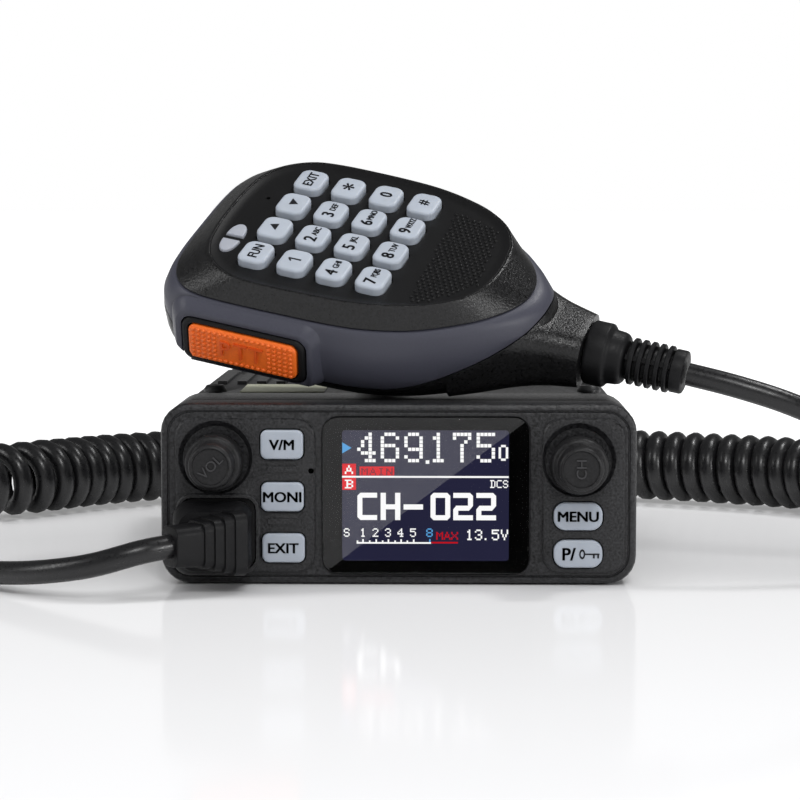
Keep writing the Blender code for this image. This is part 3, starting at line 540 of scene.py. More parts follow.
# Darker orange for the raised PTT letters: painted shade along their edges, as the letters are moulded in
# the pad's own orange.
PTT_LETTER_SHADE = plastic("ptt_letters_painted_shade", (0.60, 0.080, 0.009), 0.40, 0.45, 4, 1800, 0.06)
LABEL_WHITE = plastic("label_white", (0.60, 0.61, 0.47), 0.5, 0.3, 5, 900, 0.05)
BOARD_GREEN = plastic("board_green", (0.02, 0.12, 0.05), 0.45, 0.5, 30, 900, 0.3)
BEZEL_BLACK = plastic("bezel_black", (0.0010, 0.0010, 0.0010), 0.03, 0.5, 0, 900, 0.1)
CARD_BLACK = plastic("card_black", (0.0010, 0.0010, 0.0010), 1.0, 0.0, 0)
INK_BLACK = plastic("ink_black", (0.0060, 0.0062, 0.0085), 0.5, 0.3, 3, 1500, 0.1)
KEY_GREY = silicone("key_grey", (0.345, 0.378, 0.430))
NICKEL = metal("nickel", (0.62, 0.61, 0.60), 0.28, 0.6)
LENS_GLASS = glass("lens_glass")
LIGHT_GREY = silicone("light_grey", (0.300, 0.315, 0.355))

SLOT_MATERIALS = {
    "panel_black": PANEL_BLACK, "shell_black": SHELL_BLACK, "cast_black": CAST_BLACK,
    "inner_black": INNER_BLACK, "rubber_black": RUBBER_BLACK, "key_grey": KEY_GREY,
    "band_grey": BAND_GREY, "ptt_orange": PTT_ORANGE, "lens_glass": LENS_GLASS,
    "nickel": NICKEL, "board_green": BOARD_GREEN, "label_white": LABEL_WHITE,
}


# Cord


def smoothstep(share):
    share = min(max(share, 0.0), 1.0)
    return share * share * (3 - 2 * share)


def cord_path():
    """The cord's centreline: straight from the microphone, wound into a coil, straight to the plug."""
    coil = resample(smooth_path([COIL_START, *reversed(COIL_ROUTE)]), 3000)
    out = resample(smooth_path(list(reversed(PLUG_CORD_ROUTE))), 2400)
    axis = coil + out[1:]
    coil_length = path_length(coil)
    points = resample(smooth_path(MIC_CORD_ROUTE[:-1]), 80)[:-1]
    phase = math.pi
    travelled = 0.0
    since = 9.0
    for here, there in zip(axis, axis[1:]):
        forward = Vector((there.x - here.x, there.y - here.y, 0))
        stride = forward.length
        if stride < 1e-6:
            continue
        if travelled > coil_length + COIL_OUT:
            break
        past = travelled - coil_length
        rise = smoothstep(travelled / COIL_IN)
        away = smoothstep(past / COIL_OUT)
        radius = COIL_RADIUS * min(rise, 1 - away)
        height = CORD_ON_FLOOR + (COIL_RADIUS - 0.25) * rise
        if past > 0:
            height = height * (1 - away) + here.z * away
        forward.normalize()
        side = forward.cross(Vector((0, 0, 1)))
        point = Vector((here.x, here.y, height + radius * math.cos(phase)))
        point += radius * math.sin(phase) * side
        loose = 1.0 + 0.45 * smoothstep((past + 22.0) / 22.0)
        tight = COIL_PITCH * loose / (2 * math.pi)
        least = 3.0 if radius < 2 else 0.0
        open_turn = math.sqrt(max(2 * LEAST_BEND * radius - radius * radius, least))
        turn = stride / max(tight, open_turn)
        phase += turn
        travelled += stride
        since += math.hypot(stride, radius * turn)
        if since > COIL_POINT_STEP:
            points.append(point)
            since = 0.0
    walked = 0.0
    for near, far in zip(out, out[1:]):
        walked += (far - near).length
        since += (far - near).length if walked > travelled - coil_length else 0.0
        if since > RUN_POINT_STEP:
            points.append(far)
            since = 0.0
    into_plug = (out[-1] - out[-2]).normalized()
    points += [out[-1] + reach * into_plug for reach in (0.5, 3.0)]
    return smooth_all(points)


def smooth_all(points):
    """Evens the path out a little, with its ends kept."""
    for _ in range(2):
        middle = [
            0.25 * before + 0.5 * here + 0.25 * after
            for before, here, after in zip(points, points[1:], points[2:])
        ]
        points = [points[0], *middle, points[-1]]
    return points


def tube(path, radius, sides=14):
    """A round tube along a path, with no twist from ring to ring."""
    rings = []
    forward = (path[1] - path[0]).normalized()
    side = forward.orthogonal().normalized()
    for index, point in enumerate(path):
        ahead = path[min(index + 1, len(path) - 1)] - path[max(index - 1, 0)]
        ahead.normalize()
        side = (side - side.dot(ahead) * ahead).normalized()
        other = ahead.cross(side)
        turns = [2 * math.pi * step / sides for step in range(sides)]
        ring = [math.cos(turn) * side + math.sin(turn) * other for turn in turns]
        rings.append([point + radius * spoke for spoke in ring])
    return lofted(rings)


def build_cord(plug):
    path = cord_path()
    mesh = tube(path, CORD_DIAMETER / 2)
    cord = new_piece("curly_cord", mesh, CORD_BLACK, None, (), angle=60)
    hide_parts("cord_mic_end", "cord_coil", "cord_plug_end")
    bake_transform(cord)


def build_plug():
    """An angled boot: a block on the jack and a stepped arm for the cord."""
    x, z = JACK_CENTRE
    block = [
        at_y(rounded_rect(*size, radius, 8, (x + shift, z + drop)), FACE_Y - depth)
        for size, radius, shift, drop, depth in (
            ((15.2, 14.0), 2.4, -0.6, -0.4, 0.8),
            ((16.0, 14.8), 2.8, -0.75, -0.45, 1.1),
            ((16.4, 15.2), 3.0, -0.8, -0.5, 2.0),
            ((16.4, 15.2), 3.1, -0.8, -0.5, 4.5),
            ((16.1, 14.9), 3.4, -0.8, -0.5, 6.2),
            ((15.3, 14.1), 3.6, -0.8, -0.5, 7.7),
            ((14.3, 13.2), 3.6, -0.8, -0.5, 8.8),
            ((13.2, 12.2), 3.4, -0.8, -0.5, 9.5),
        )
    ]
    steps = (
        (0.0, 13.2), (2.6, 13.0), (2.6, 12.0), (4.7, 11.8), (4.7, 10.9), (6.8, 10.7), (6.8, 9.8),
        (8.9, 9.6), (8.9, 8.8), (14.8, 8.3), (15.0, 8.0),
    )
    turn = Matrix.Translation((x + 4.2, FACE_Y - 8.4, z - 0.6)) @ turned_about_z(33)
    rings = [at_x(rounded_rect(0.86 * size, size, 2.0, 6), -along) for along, size in steps]
    arm = lofted(rings, turn=turn)
    mesh = softened(combined(lofted(block), ("UNION", arm)), 0.22, 2, 30)
    return new_piece("plug_boot", mesh, RUBBER_BLACK, "root", ("mic_plug",), angle=30)


# Floor and reflection card


def build_floor():
    bm = bmesh.new()
    bmesh.ops.create_grid(bm, x_segments=8, y_segments=8, size=20.0)
    mesh = bpy.data.meshes.new("floor")
    bm.to_mesh(mesh)
    bm.free()
    floor = add_object("floor", mesh)
    shader = Shader("floor_white", (0.81, 0.81, 0.82), 0.10, specular=0.05)
    shader.vary_roughness(8, 0.01)
    # Painted light: the floor glows more the further it lies from a point in front of the radio.
    shader.painted_glow_away_from((0.0, -0.2, 0.0), 0.23, 0.6, 0.75)
    mesh.materials.append(shader.material)


def build_reflection_card():
    """A black card in front of the lower right of the display, seen only in its glass."""
    corners = [Vector((x, -78, z)) * MM for x, z in ((28.15, 33.7), (-16.8, -0.4), (28.2, -0.4))]
    mesh = bpy.data.meshes.new("card")
    mesh.from_pydata(corners, [], [(0, 1, 2)])
    card = add_object("reflection_card", mesh)
    mesh.materials.append(CARD_BLACK)
    for way in ("camera", "diffuse", "shadow"):
        setattr(card, "visible_" + way, False)


# Lettering


def text_mesh(words, size, depth, bold=0.0, narrow=1.0):
    """Flat letters about the middle, in millimetres, facing +Z, thickened sideways by bold."""
    curve = bpy.data.curves.new("letters", "FONT")
    curve.body = words
    curve.size = size
    curve.extrude = depth / 2
    curve.resolution_u = 4
    curve.align_x = "CENTER"
    curve.align_y = "CENTER"
    mesh = taken_out(add_object("letters", curve))
    low = min(vertex.co.y for vertex in mesh.vertices)
    high = max(vertex.co.y for vertex in mesh.vertices)
    left = min(vertex.co.x for vertex in mesh.vertices)
    right = max(vertex.co.x for vertex in mesh.vertices)
    middle = Vector(((left + right) / 2, (low + high) / 2, 0))
    mesh.transform(Matrix.Diagonal((narrow, 1, 1, 1)) @ Matrix.Translation(-middle))
    if not bold:
        return mesh
    shifts = [(-bold, -0.4 * bold), (-bold, 0.4 * bold), (bold, 0.4 * bold), (bold, -0.4 * bold), (0, 0)]
    return joined([shifted(mesh.copy(), *shift) for shift in shifts])


def joined(meshes):
    bm = bmesh.new()
    for mesh in meshes:
        bm.from_mesh(mesh)
    result = bpy.data.meshes.new("joined")
    bm.to_mesh(result)
    bm.free()
    return result


def moved(mesh, place):
    mesh.transform(place)
    return mesh


def shifted(mesh, across, up=0.0):
    return moved(mesh, Matrix.Translation((across, up, 0)))


def facing(origin, right, up):
    """A frame at origin whose X is right and whose Y is up."""
    right, up = Vector(right).normalized(), Vector(up).normalized()
    out = right.cross(up)
    frame_rows = Matrix((right, up, out)).transposed().to_4x4()
    return Matrix.Translation(origin) @ frame_rows


def flat_polygon(points, depth=0.06):
    return lofted([at_z(points, -depth / 2), at_z(points, depth / 2)])


# Keys and buttons


def key_rings(width, height, radius, bottom, top, fillet=0.7, crown=0.1):
    """A soft-edged cap: straight sides, a round shoulder and a slightly domed top."""
    rings = [at_z(rounded_rect(width, height, radius), bottom)]
    for step in range(7):
        angle = math.radians(15 * step)
        inset = fillet * (1 - math.cos(angle))
        outline = rounded_rect(width - 2 * inset, height - 2 * inset, radius - 0.7 * inset)
        rings.append(at_z(outline, top - fillet + fillet * math.sin(angle)))
    for share in (0.7, 0.35):
        size = (share * (width - 2 * fillet), share * (height - 2 * fillet))
        outline = rounded_rect(*size, share * (radius - 0.7 * fillet))
        rings.append(at_z(outline, top + crown * (1 - share)))
    return rings


def key_symbol():
    """A plain key: an oval ring, a shaft and two teeth."""
    oval = [(0.62 * x - 1.5, y * 1.05) for x, y in circle(1.0, 24)]
    inner = [(0.62 * 0.5 * x - 1.5, y * 0.62) for x, y in circle(1.0, 24)]
    ring = combined(flat_polygon(oval), ("DIFFERENCE", flat_polygon(inner, 0.3)))
    shaft = flat_polygon([(-1.0, -0.16), (2.1, -0.16), (2.1, 0.16), (-1.0, 0.16)])
    teeth = [
        flat_polygon([(x, -0.85), (x + 0.38, -0.85), (x + 0.38, -0.1), (x, -0.1)])
        for x in (0.75, 1.65)
    ]
    return joined([ring, shaft, *teeth])


def build_buttons():
    legends = {
        "vm_button": "V/M",
        "moni_button": "MONI",
        "exit_button": "EXIT",
        "menu_button": "MENU",
        "key_lock_button": "P/",
    }
    for name, (x, z, width, height, radius) in BUTTONS.items():
        stem = [at_z(rounded_rect(4.0, 3.0, 0.6), level) for level in (-9.4, -2.7)]
        cap = key_rings(width, height, radius, -2.6, 1.0, 0.45, 0.05)
        front = facing((x, FACE_Y, z), (1, 0, 0), (0, 0, 1))
        new_piece(name + "_cap", lofted(stem, cap), KEY_GREY, name, (name,), front)
        if name == "key_lock_button":
            letters = shifted(text_mesh(legends[name], 3.7, 0.06, 0.1, 0.98), -1.9)
            letters = joined([letters, shifted(key_symbol(), 2.35)])
        else:
            letters = text_mesh(legends[name], 3.0, 0.06, 0.09, 1.06)
        spot = facing((x, FACE_Y - 1.06, z), (1, 0, 0), (0, 0, 1))
        new_piece(name + "_legend", letters, INK_BLACK, name, place=spot, angle=20)


def arrow(way):
    """A triangle that points along the microphone's width, its foot level as the microphone lies here."""
    point, foot = Vector((0.914, 0.407)), Vector((0.385, -0.923))
    corners = [way * 1.55 * point, -way * 0.8 * point + foot, -way * 0.8 * point - foot]
    return flat_polygon([tuple(corner) for corner in corners])


def key_legend(name):
    """Legend of a microphone key: read along +Y, with -X up."""
    letters = {
        "2": "ABC", "3": "DEF", "4": "GHI", "5": "JKL",
        "6": "MNO", "7": "PQRS", "8": "TUV", "9": "WXYZ",
    }
    if name in ("fun", "exit"):
        return text_mesh(name.upper(), 3.1, 0.06, 0.06, 0.85)
    if name in ("up", "down"):
        return arrow(-1 if name == "up" else 1)
    if name == "star":
        return text_mesh("*", 6.0, 0.06, 0.08, 1.0)
    if name == "hash":
        return text_mesh("#", 3.4, 0.06, 0.08, 0.9)
    if name == "1":
        flag = [(-0.05, 1.45), (-0.85, 0.85), (-0.85, 0.45), (-0.12, 0.85)]
        return flat_polygon([(0.3, -1.45), (0.3, 1.45), *flag, (-0.12, -1.45)])
    digit = text_mesh(name, 3.9, 0.06, 0.09, 0.88)
    if name not in letters:
        return digit
    narrow = 0.85 if len(letters[name]) < 4 else 0.66
    small = text_mesh(letters[name], 1.95, 0.06, 0.05, narrow)
    return joined([shifted(digit, -1.75), shifted(small, 1.35, -0.2)])


def build_keys():
    for row, names in enumerate(KEY_NAMES):
        for column, name in enumerate(names):
            node = "mic_key_" + name
            spot = ((row - 1.5) * KEY_PITCH[0], (column - 1.5) * KEY_PITCH[1], 0)
            stem = [at_z(rounded_rect(3, 3, 0.6), level) for level in (-4.6, -2.95)]
            cap = key_rings(*KEY_SIZE, KEY_CORNER, -2.9, KEY_SHOULDER, 0.7, KEY_CROWN)
            place = MIC_FRAME @ Matrix.Translation(spot)
            new_piece(node + "_cap", lofted(stem, cap), KEY_GREY, node, (node,), place)
            top = place @ facing((0, 0, KEY_SHOULDER + KEY_CROWN), (0, 1, 0), (-1, 0, 0))
            new_piece(node + "_legend", key_legend(name), INK_BLACK, node, place=top, angle=20)


# Rotary knobs


def build_knobs():
    profile = [(0.5, -1.3), (2.5, -1.3), (2.5, -0.6), (5.3, -0.6), (5.7, -0.5), (5.9, -0.2), (5.9, 5.1)]
    profile += [(5.85, 5.5), (5.65, 5.85), (5.35, 6.05), (5.0, 6.12), (4.95, 6.2), (4.75, 6.35)]
    profile += [(4.65, 6.7)]
    profile += [(4.65, 10.5), (4.58, 10.95), (4.38, 11.28), (4.05, 11.46), (3.85, 11.5)]
    profile += [(3.75, 11.42), (3.65, 11.12), (1.8, 11.05), (0.4, 11.05)]
    for name, axis, words, angle in (("vol_knob", VOL_AXIS, "VOL", 45), ("ch_knob", CH_AXIS, "CH", 90)):
        front = facing((axis[0], FACE_Y, axis[1]), (1, 0, 0), (0, 0, 1))
        cap = turned(profile, 96)
        new_piece(name + "_cap", cap, KNOB_BLACK, name, (name,), front)
        place = front @ Matrix.Translation((0, 0, 11.15)) @ turned_about_z(angle)
        letters = softened(text_mesh(words, 3.0, 0.6), 0.06, 2)
        # The letters' lighter colour is a painted highlight.
        new_piece(name + "_letters", letters, KNOB_LETTER_HIGHLIGHT, name, place=place)


# Hand microphone


def mic_outline(half, count=160):
    there = [(x, y, 0) for x, y in half]
    back = [(x, -y, 0) for x, y in reversed(half[1:-1])]
    ring = resample(smooth_path(there + back, closed=True), count + 1)[:-1]
    return [(point.x, point.y) for point in ring]


def mix(first, second, share):
    return [(a[0] + (b[0] - a[0]) * share, a[1] + (b[1] - a[1]) * share) for a, b in zip(first, second)]


def shrink(outline, distance):
    """Draws every side of an outline in by a distance."""
    xs = [x for x, y in outline]
    ys = [y for x, y in outline]
    middle = (max(xs) + min(xs)) / 2
    across = 1 - 2 * distance / (max(xs) - min(xs))
    up = 1 - 2 * distance / (max(ys) - min(ys))
    return [(middle + (x - middle) * across, y * up) for x, y in outline]


EDGE = mic_outline(SHELL_EDGE)
PANEL = mic_outline(PANEL_EDGE)
BODY = mic_outline(BODY_EDGE)


def key_spots():
    for row in range(4):
        for column in range(4):
            yield (row - 1.5) * KEY_PITCH[0], (column - 1.5) * KEY_PITCH[1]


def leaf(side, grow=0.0, count=24):
    """Half of a leaf: an arc and the straight cut towards the other half."""
    centre = (-21.2, -10.4 + side * 0.8)
    points = []
    for step in range(count + 1):
        angle = math.pi * step / count
        across = centre[0] + (2.0 + grow) * math.cos(angle)
        rise = (4.6 + 2 * grow) * math.sin(angle) ** 0.8
        points.append((across, centre[1] - side * grow + side * rise))
    return points


def build_mic_front():
    """The grained bevel round the face, and the smooth face with its openings."""
    knots = (
        (0.0, -5.0), (0.0, -4.85), (0.04, -4.6), (0.2, -3.8),
        (0.5, -2.3), (0.8, -0.85), (0.93, -0.22), (0.98, -0.04),
    )
    profile = smooth_path([(*knot, 0) for knot in knots] + [(1.0, 0.0, 0)], dense=4)
    rings = [at_z(shrink(PANEL, 0.36), -2.5), at_z(shrink(mix(EDGE, PANEL, 0.45), 1.9), -3.4)]
    rings.append(at_z(shrink(EDGE, 2.0), -5.0))
    rings.append(at_z(shrink(EDGE, 0.25), -5.0))
    rings += [at_z(mix(EDGE, PANEL, point.x), point.y) for point in profile[3:]]
    rings.append(at_z(shrink(PANEL, 0.25), 0.02))
    rings.append(at_z(shrink(PANEL, 0.33), -0.05))
    shell = lofted(rings + [rings[0]], caps=(False, False))
    stands_for = ("mic_front_shell",)
    new_piece("mic_front_rim", shell, SHELL_BLACK, "mic", stands_for, MIC_FRAME, 50)

    slope = (
        (0.38, -2.45), (0.38, -0.10), (0.5, -0.08), (1.0, -0.26), (1.6, -0.46), (2.2, -0.58), (2.8, -0.62),
    )
    face = lofted([at_z(shrink(PANEL, inset), height) for inset, height in slope])
    holes = []
    for spot in key_spots():
        outline = rounded_rect(7.2, 8.6, 2.4, 8, spot)
        holes.append([at_z(outline, -4), at_z(outline, 2)])
    for side in (-1, 1):
        holes.append([at_z(leaf(side, 0.12), -4), at_z(leaf(side, 0.12), 2)])
    face = softened(combined(face, ("DIFFERENCE", lofted(*holes))), 0.12, 2)
    pinhole = circle(0.5, 24, (-20.5, 7.4))
    face = combined(face, ("DIFFERENCE", lofted([at_z(pinhole, -1.6), at_z(pinhole, 2)])))
    new_piece("mic_face", face, FACE_BLACK, "mic", (), MIC_FRAME, 20)

    for side, name in ((-1, "mic_light_near"), (1, "mic_light_far")):
        levels = [(0.0, -2.6), (0.0, -0.4), (-0.08, -0.2), (-0.25, -0.08), (-0.5, -0.04)]
        light = lofted([at_z(leaf(side, grow), height) for grow, height in levels])
        new_piece(name + "_lens", light, LIGHT_GREY, "mic", (name,), MIC_FRAME)


def build_speaker_dots():
    """Rows of small raised dots over the loudspeaker end of the microphone's face."""
    corners = [(22.5, -19.1), (20.7, 17.1), (32.1, 13.0), (34.4, -8.1), (27.1, -17.7)]

    def inside(x, y):
        result = False
        for (ax, ay), (bx, by) in zip(corners, corners[1:] + corners[:1]):
            if (ay > y) != (by > y) and x < (bx - ax) * (y - ay) / (by - ay) + ax:
                result = not result
        return result

    dots = []
    levels = ((0.40, -0.66), (0.37, -0.46), (0.25, -0.3), (0.1, -0.25))
    for row in range(-16, 16):
        for column in range(12):
            x = 20.9 + 1.28 * column + (0.64 if row % 2 else 0.0)
            y = 1.15 * row
            if inside(x, y):
                dots.append([at_z(circle(radius, 10, (x, y)), height) for radius, height in levels])
    new_piece("speaker_dots", lofted(*dots), FACE_BLACK, "mic", (), MIC_FRAME, 60)


def envelope(inset, top):
    """The body below the front rim as one solid, drawn in by the inset."""
    knots = [
        (top, inset - 0.4, 0.0), (-6.1, inset - 0.2, 0.4), (-7.0, inset, 0.65),
        (-9.5, inset, 1.0), (-13.0, inset - 0.1, 1.0), (-17.0, inset + 0.3, 1.0),
        (-19.2, inset + 0.8, 1.0), (-21.0, inset + 1.6, 1.0), (-23.0, inset + 3.1, 1.0),
        (-24.5 + inset * 0.5, inset + 5.0, 1.0), (-26.1 + inset * 0.7, inset + 8.0, 1.0),
        (-27.2 + inset * 0.9, inset + 11.5, 1.0), (-28.1 + inset * 0.95, inset + 14.8, 1.0),
        (-28.6 + inset, inset + 17.5, 1.0),
    ]
    return lofted([at_z(shrink(mix(EDGE, BODY, share), reach), height) for height, reach, share in knots])


def neck():
    """The tapered neck between the body and the cord, through smooth sections."""
    points = smooth_path([(x, half, top) for x, half, top, _ in NECK_SECTIONS], dense=4)
    bottoms = smooth_path([(x, half, bottom) for x, half, _, bottom in NECK_SECTIONS], dense=4)
    rings = []
    for point, low in zip(points, bottoms):
        size = (2 * point.y, point.z - low.z)
        rings.append(at_x(rounded_rect(*size, 4.6, 8, (0, (point.z + low.z) / 2)), point.x))
    return lofted(rings)


def side_cut(profile):
    """A prism across the microphone, of a side view drawn as (distance along, height)."""
    return lofted([[Vector((x, -45, z)) for x, z in profile], [Vector((x, 45, z)) for x, z in profile]])


def box_mesh(low, high):
    corners = [(low[0], low[1]), (high[0], low[1]), (high[0], high[1]), (low[0], high[1])]
    return lofted([at_z(corners, low[2]), at_z(corners, high[2])])


def build_mic_body():
    upper = [*BAND_SWEEP[:5]]
    upper += [(point.x, point.y) for point in smooth_path([(x, z, 0) for x, z in BAND_SWEEP[5:]], dense=5)]
    lower = [(x + 0.1, z - GAP) for x, z in upper]
    x, z = PTT_CENTRE
    width, height = PTT_FRAME
    opening = [at_y(rounded_rect(width + 2 * GAP, height + 2 * GAP, 2.8, 8, (x, z)), y) for y in (-40, -22)]
    ridge = []
    for step in range(8):
        share = step / 7
        grow = 4.0 * (1 - math.sin(share * math.pi / 2))
        size = (width + 3 + grow, height + 3 + 0.75 * grow)
        outline = rounded_rect(*size, 3.5 + 0.25 * grow, 8, (x, z + 0.12 * grow))
        ridge.append(at_y(outline, -27.5 - 2.6 * (1 - (1 - share) ** 2.2)))
    band_side = upper + [(51, 0), (-40, 0)]
    back_side = lower + [(70, -4), (70, -40), (-40, -40)]
    for name, node, side, material, slot in (
        ("mic_band_skin", "mic_band", band_side, BAND_GREY, "band_grey"),
        ("mic_back_skin", "mic_back_shell", back_side, SHELL_BLACK, "shell_black"),
    ):
        steps = [("UNION", neck())]
        if node == "mic_band":
            steps.append(("UNION", lofted(ridge)))
        steps += [
            ("DIFFERENCE", envelope(2.2, -4.0)),
            ("INTERSECT", side_cut(side)),
            ("DIFFERENCE", lofted(opening)),
        ]
        mesh = combined(envelope(0.0, -5.3), *steps)
        new_piece(name, softened(mesh, 0.18, 2, 40), material, "mic", (node,), MIC_FRAME, 40)


def build_ptt():
    frame_rings = [at_y(rounded_rect(*PTT_FRAME, 2.5, 8, PTT_CENTRE), -24.5)]
    for step in range(6):
        angle = math.radians(18 * step)
        inset = 0.7 * (1 - math.cos(angle))
        size = (PTT_FRAME[0] - 2 * inset, PTT_FRAME[1] - 2 * inset)
        outline = rounded_rect(*size, 2.5 - 0.6 * inset, 8, PTT_CENTRE)
        frame_rings.append(at_y(outline, -29.9 - 0.7 * math.sin(angle)))
    hole = rounded_rect(PTT_PAD[0] + 2 * GAP, PTT_PAD[1] + 2 * GAP, 1.9, 8, PTT_CENTRE)
    mesh = combined(lofted(frame_rings), ("DIFFERENCE", lofted([at_y(hole, -40), at_y(hole, -20)])))
    mesh = softened(mesh, 0.2, 2)
    new_piece("ptt_frame_skin", mesh, RUBBER_BLACK, "mic", ("ptt_frame",), MIC_FRAME, 30)

    solids = [[at_z(rounded_rect(*PTT_PAD, 1.6, 8), -6.4)]]
    for step in range(7):
        angle = math.radians(15 * step)
        inset = 0.6 * (1 - math.cos(angle))
        size = (PTT_PAD[0] - 2 * inset, PTT_PAD[1] - 2 * inset)
        outline = rounded_rect(*size, 1.6 - 0.6 * inset, 8)
        solids[0].append(at_z(outline, -0.6 + 0.6 * math.sin(angle)))
    levels = ((0.46, -0.1), (0.44, 0.12), (0.33, 0.27), (0.12, 0.34))
    for column in [-11.3 + 1.256 * index for index in range(19)]:
        for row in range(7):
            if abs(column) < 5.8 and 0 < row < 6:
                continue
            spot = (column, -3.36 + 1.12 * row)
            solids.append([at_z(circle(radius, 12, spot), height) for radius, height in levels])
    front = MIC_FRAME @ facing((PTT_CENTRE[0], PTT_FRONT, PTT_CENTRE[1]), (1, 0, 0), (0, 0, 1))
    new_piece("ptt_bar", lofted(*solids), PTT_ORANGE, "ptt", ("ptt_pad",), front)
    letters = joined(
        [
            shifted(softened(text_mesh(letter, 5.5, 0.9), 0.12, 2), shift)
            for letter, shift in (("P", -3.5), ("T", 0.0), ("T", 3.6))
        ]
    )
    place = front @ Matrix.Translation((-0.2, 0.1, 0.0))
    # The letters' darker orange is painted shade.
    new_piece("ptt_letters", letters, PTT_LETTER_SHADE, "ptt", (), place)


def build_strain_relief():
    """A ribbed sleeve about the cord: a collar, five fins on a thin core and an end block."""
    start = NECK_END + GAP
    profile = [(0.5, start), (6.3, start), (6.6, start + 0.08), (6.9, start + 0.35), (7.0, start + 0.8)]
    profile += [(7.0, start + 3.9), (6.9, start + 4.3), (6.6, start + 4.6), (6.1, start + 4.9)]
    profile += [(5.9, start + 5.4)]
    profile += [(5.75, start + 7.0), (5.5, start + 7.8), (5.0, start + 8.3), (4.2, start + 8.5)]
    for index in range(5):
        low = 67.0 + 1.95 * index
        profile += [(3.3, low - 0.7), (3.3, low - 0.12), (3.45, low), (4.9, low), (5.1, low + 0.15)]
        profile += [(5.1, low + 0.8), (4.9, low + 0.98), (3.45, low + 1.0)]
    profile += [(3.3, 75.8), (3.3, 76.1), (4.4, 76.2), (4.7, 76.45), (4.7, RELIEF_END - 0.5)]
    profile += [(4.55, RELIEF_END - 0.15), (4.2, RELIEF_END), (2.6, RELIEF_END)]
    solids = [turned(profile, 64)]
    for turn in range(4):
        rib = box_mesh((3.0, -0.55, 66.2), (4.15, 0.55, 76.4))
        solids.append(moved(rib, turned_about_z(45 + 90 * turn)))
    lying = Matrix.Translation((0, 0, RELIEF_HEIGHT)) @ Matrix.Rotation(math.radians(90), 4, "Y")
    place = MIC_FRAME @ lying
    sleeve = joined(solids)
    new_piece("relief_skin", sleeve, RUBBER_BLACK, "mic", ("strain_relief",), place, 40)


# Display


PICTURE_CORNER = (-12.062, 33.062)
PICTURE_SIZE = (35.55, 28.11)
BAR_TOP, BAR_BOTTOM = 13.50, 19.27
BAR_STROKE, BAR_CUT = 1.049, 0.629


def screen_shape(points):
    """A flat shape on the display, in millimetres right and down from the picture's upper left corner."""
    left, top = PICTURE_CORNER
    return [Vector((left + across, 0, top - down)) for across, down in points]


def screen_patch(left, top, right, bottom):
    return screen_shape([(left, top), (right, top), (right, bottom), (left, bottom)])


JOINED_DOTS = 1.02
DOT_GLYPHS = {
    "4": ("...#.", "..##.", ".#.#.", ".#.#.", "#..#.", ".####", "...#.", "..###"),
    "6": (".###.", "#...#", "#....", "####.", "#...#", "#...#", "#...#", ".###."),
    "9": (".###.", "#...#", "#...#", "#...#", ".####", "....#", "#...#", ".###."),
    "1": (".#.", "##.", ".#.", ".#.", ".#.", ".#.", ".#.", "###"),
    "7": ("#####", "#...#", "...#.", "..#..", "..#..", "..#..", "..#..", "..#.."),
    "5": ("#####", "#....", "#....", "####.", "....#", "....#", "#...#", ".###."),
}
SMALL_GLYPHS = {
    "0": (".##.", "#..#", "#..#", "#..#", "#..#", "#..#", ".##."),
    "1": (".#.", "##.", ".#.", ".#.", ".#.", ".#.", "###"),
    "2": (".###.", "#...#", "....#", "...#.", "..#..", ".#...", "#####"),
    "3": (".###.", "#...#", "....#", "..##.", "....#", "#...#", ".###."),
    "4": ("...#.", "..##.", ".#.#.", "#..#.", "#####", "...#.", "..###"),
    "5": ("#####", "#....", "####.", "....#", "....#", "#...#", ".###."),
    "8": (".###.", "#...#", "#...#", ".###.", "#...#", "#...#", ".###."),
    "S": (".###.", "#...#", "#....", ".###.", "....#", "#...#", ".###."),
    "M": ("#...#", "##.##", "#.#.#", "#.#.#", "#...#", "#...#", "#...#"),
    "A": ("..#..", "..#..", ".#.#.", ".#.#.", ".###.", "#...#", "#...#"),
    "X": ("#...#", "#...#", ".#.#.", "..#..", ".#.#.", "#...#", "#...#"),
    "V": ("#...#", "#...#", "#...#", ".#.#.", ".#.#.", "..#..", "..#.."),
    "I": (".###.", "..#..", "..#..", "..#..", "..#..", "..#..", ".###."),
    "N": ("#...#", "##..#", "##..#", "#.#.#", "#..##", "#..##", "#...#"),
    "D": ("####.", ".#..#", ".#..#", ".#..#", ".#..#", ".#..#", "####."),
    "C": (".####", "#....", "#....", "#....", "#....", "#....", ".####"),
    "B": ("####.", ".#..#", ".#..#", ".###.", ".#..#", ".#..#", "####."),
}


def glyph_patches(glyph, left, top, step, fill=1.0, tall=None):
    """The lit squares of a glyph, with a gap between them where fill is under 1."""
    tall = tall or step
    patches = []
    for row, line in enumerate(glyph):
        for column, mark in enumerate(line):
            if mark == "#":
                x, y = left + step * column, top + tall * row
                patches.append(screen_patch(x, y, x + step * fill, y + tall * fill))
    return patches


def bar_two(left, right):
    """A bold figure 2 with its corners cut, as an upper and a lower shape."""
    stroke, cut, top, bottom = BAR_STROKE, BAR_CUT, BAR_TOP, BAR_BOTTOM
    upper = (top + bottom) / 2 - 0.184
    lower = upper + stroke
    return [
        [
            (left, top), (right - cut, top), (right, top + cut), (right, upper),
            (right - stroke, upper), (right - stroke, top + stroke), (left, top + stroke),
        ],
        [
            (right - stroke, upper), (right, upper), (right, upper + 0.052), (right - cut - 0.21, lower),
            (left + stroke, lower), (left + stroke, bottom - stroke), (right, bottom - stroke),
            (right, bottom), (left, bottom), (left, upper + 0.787), (left + cut, upper),
        ],
    ]


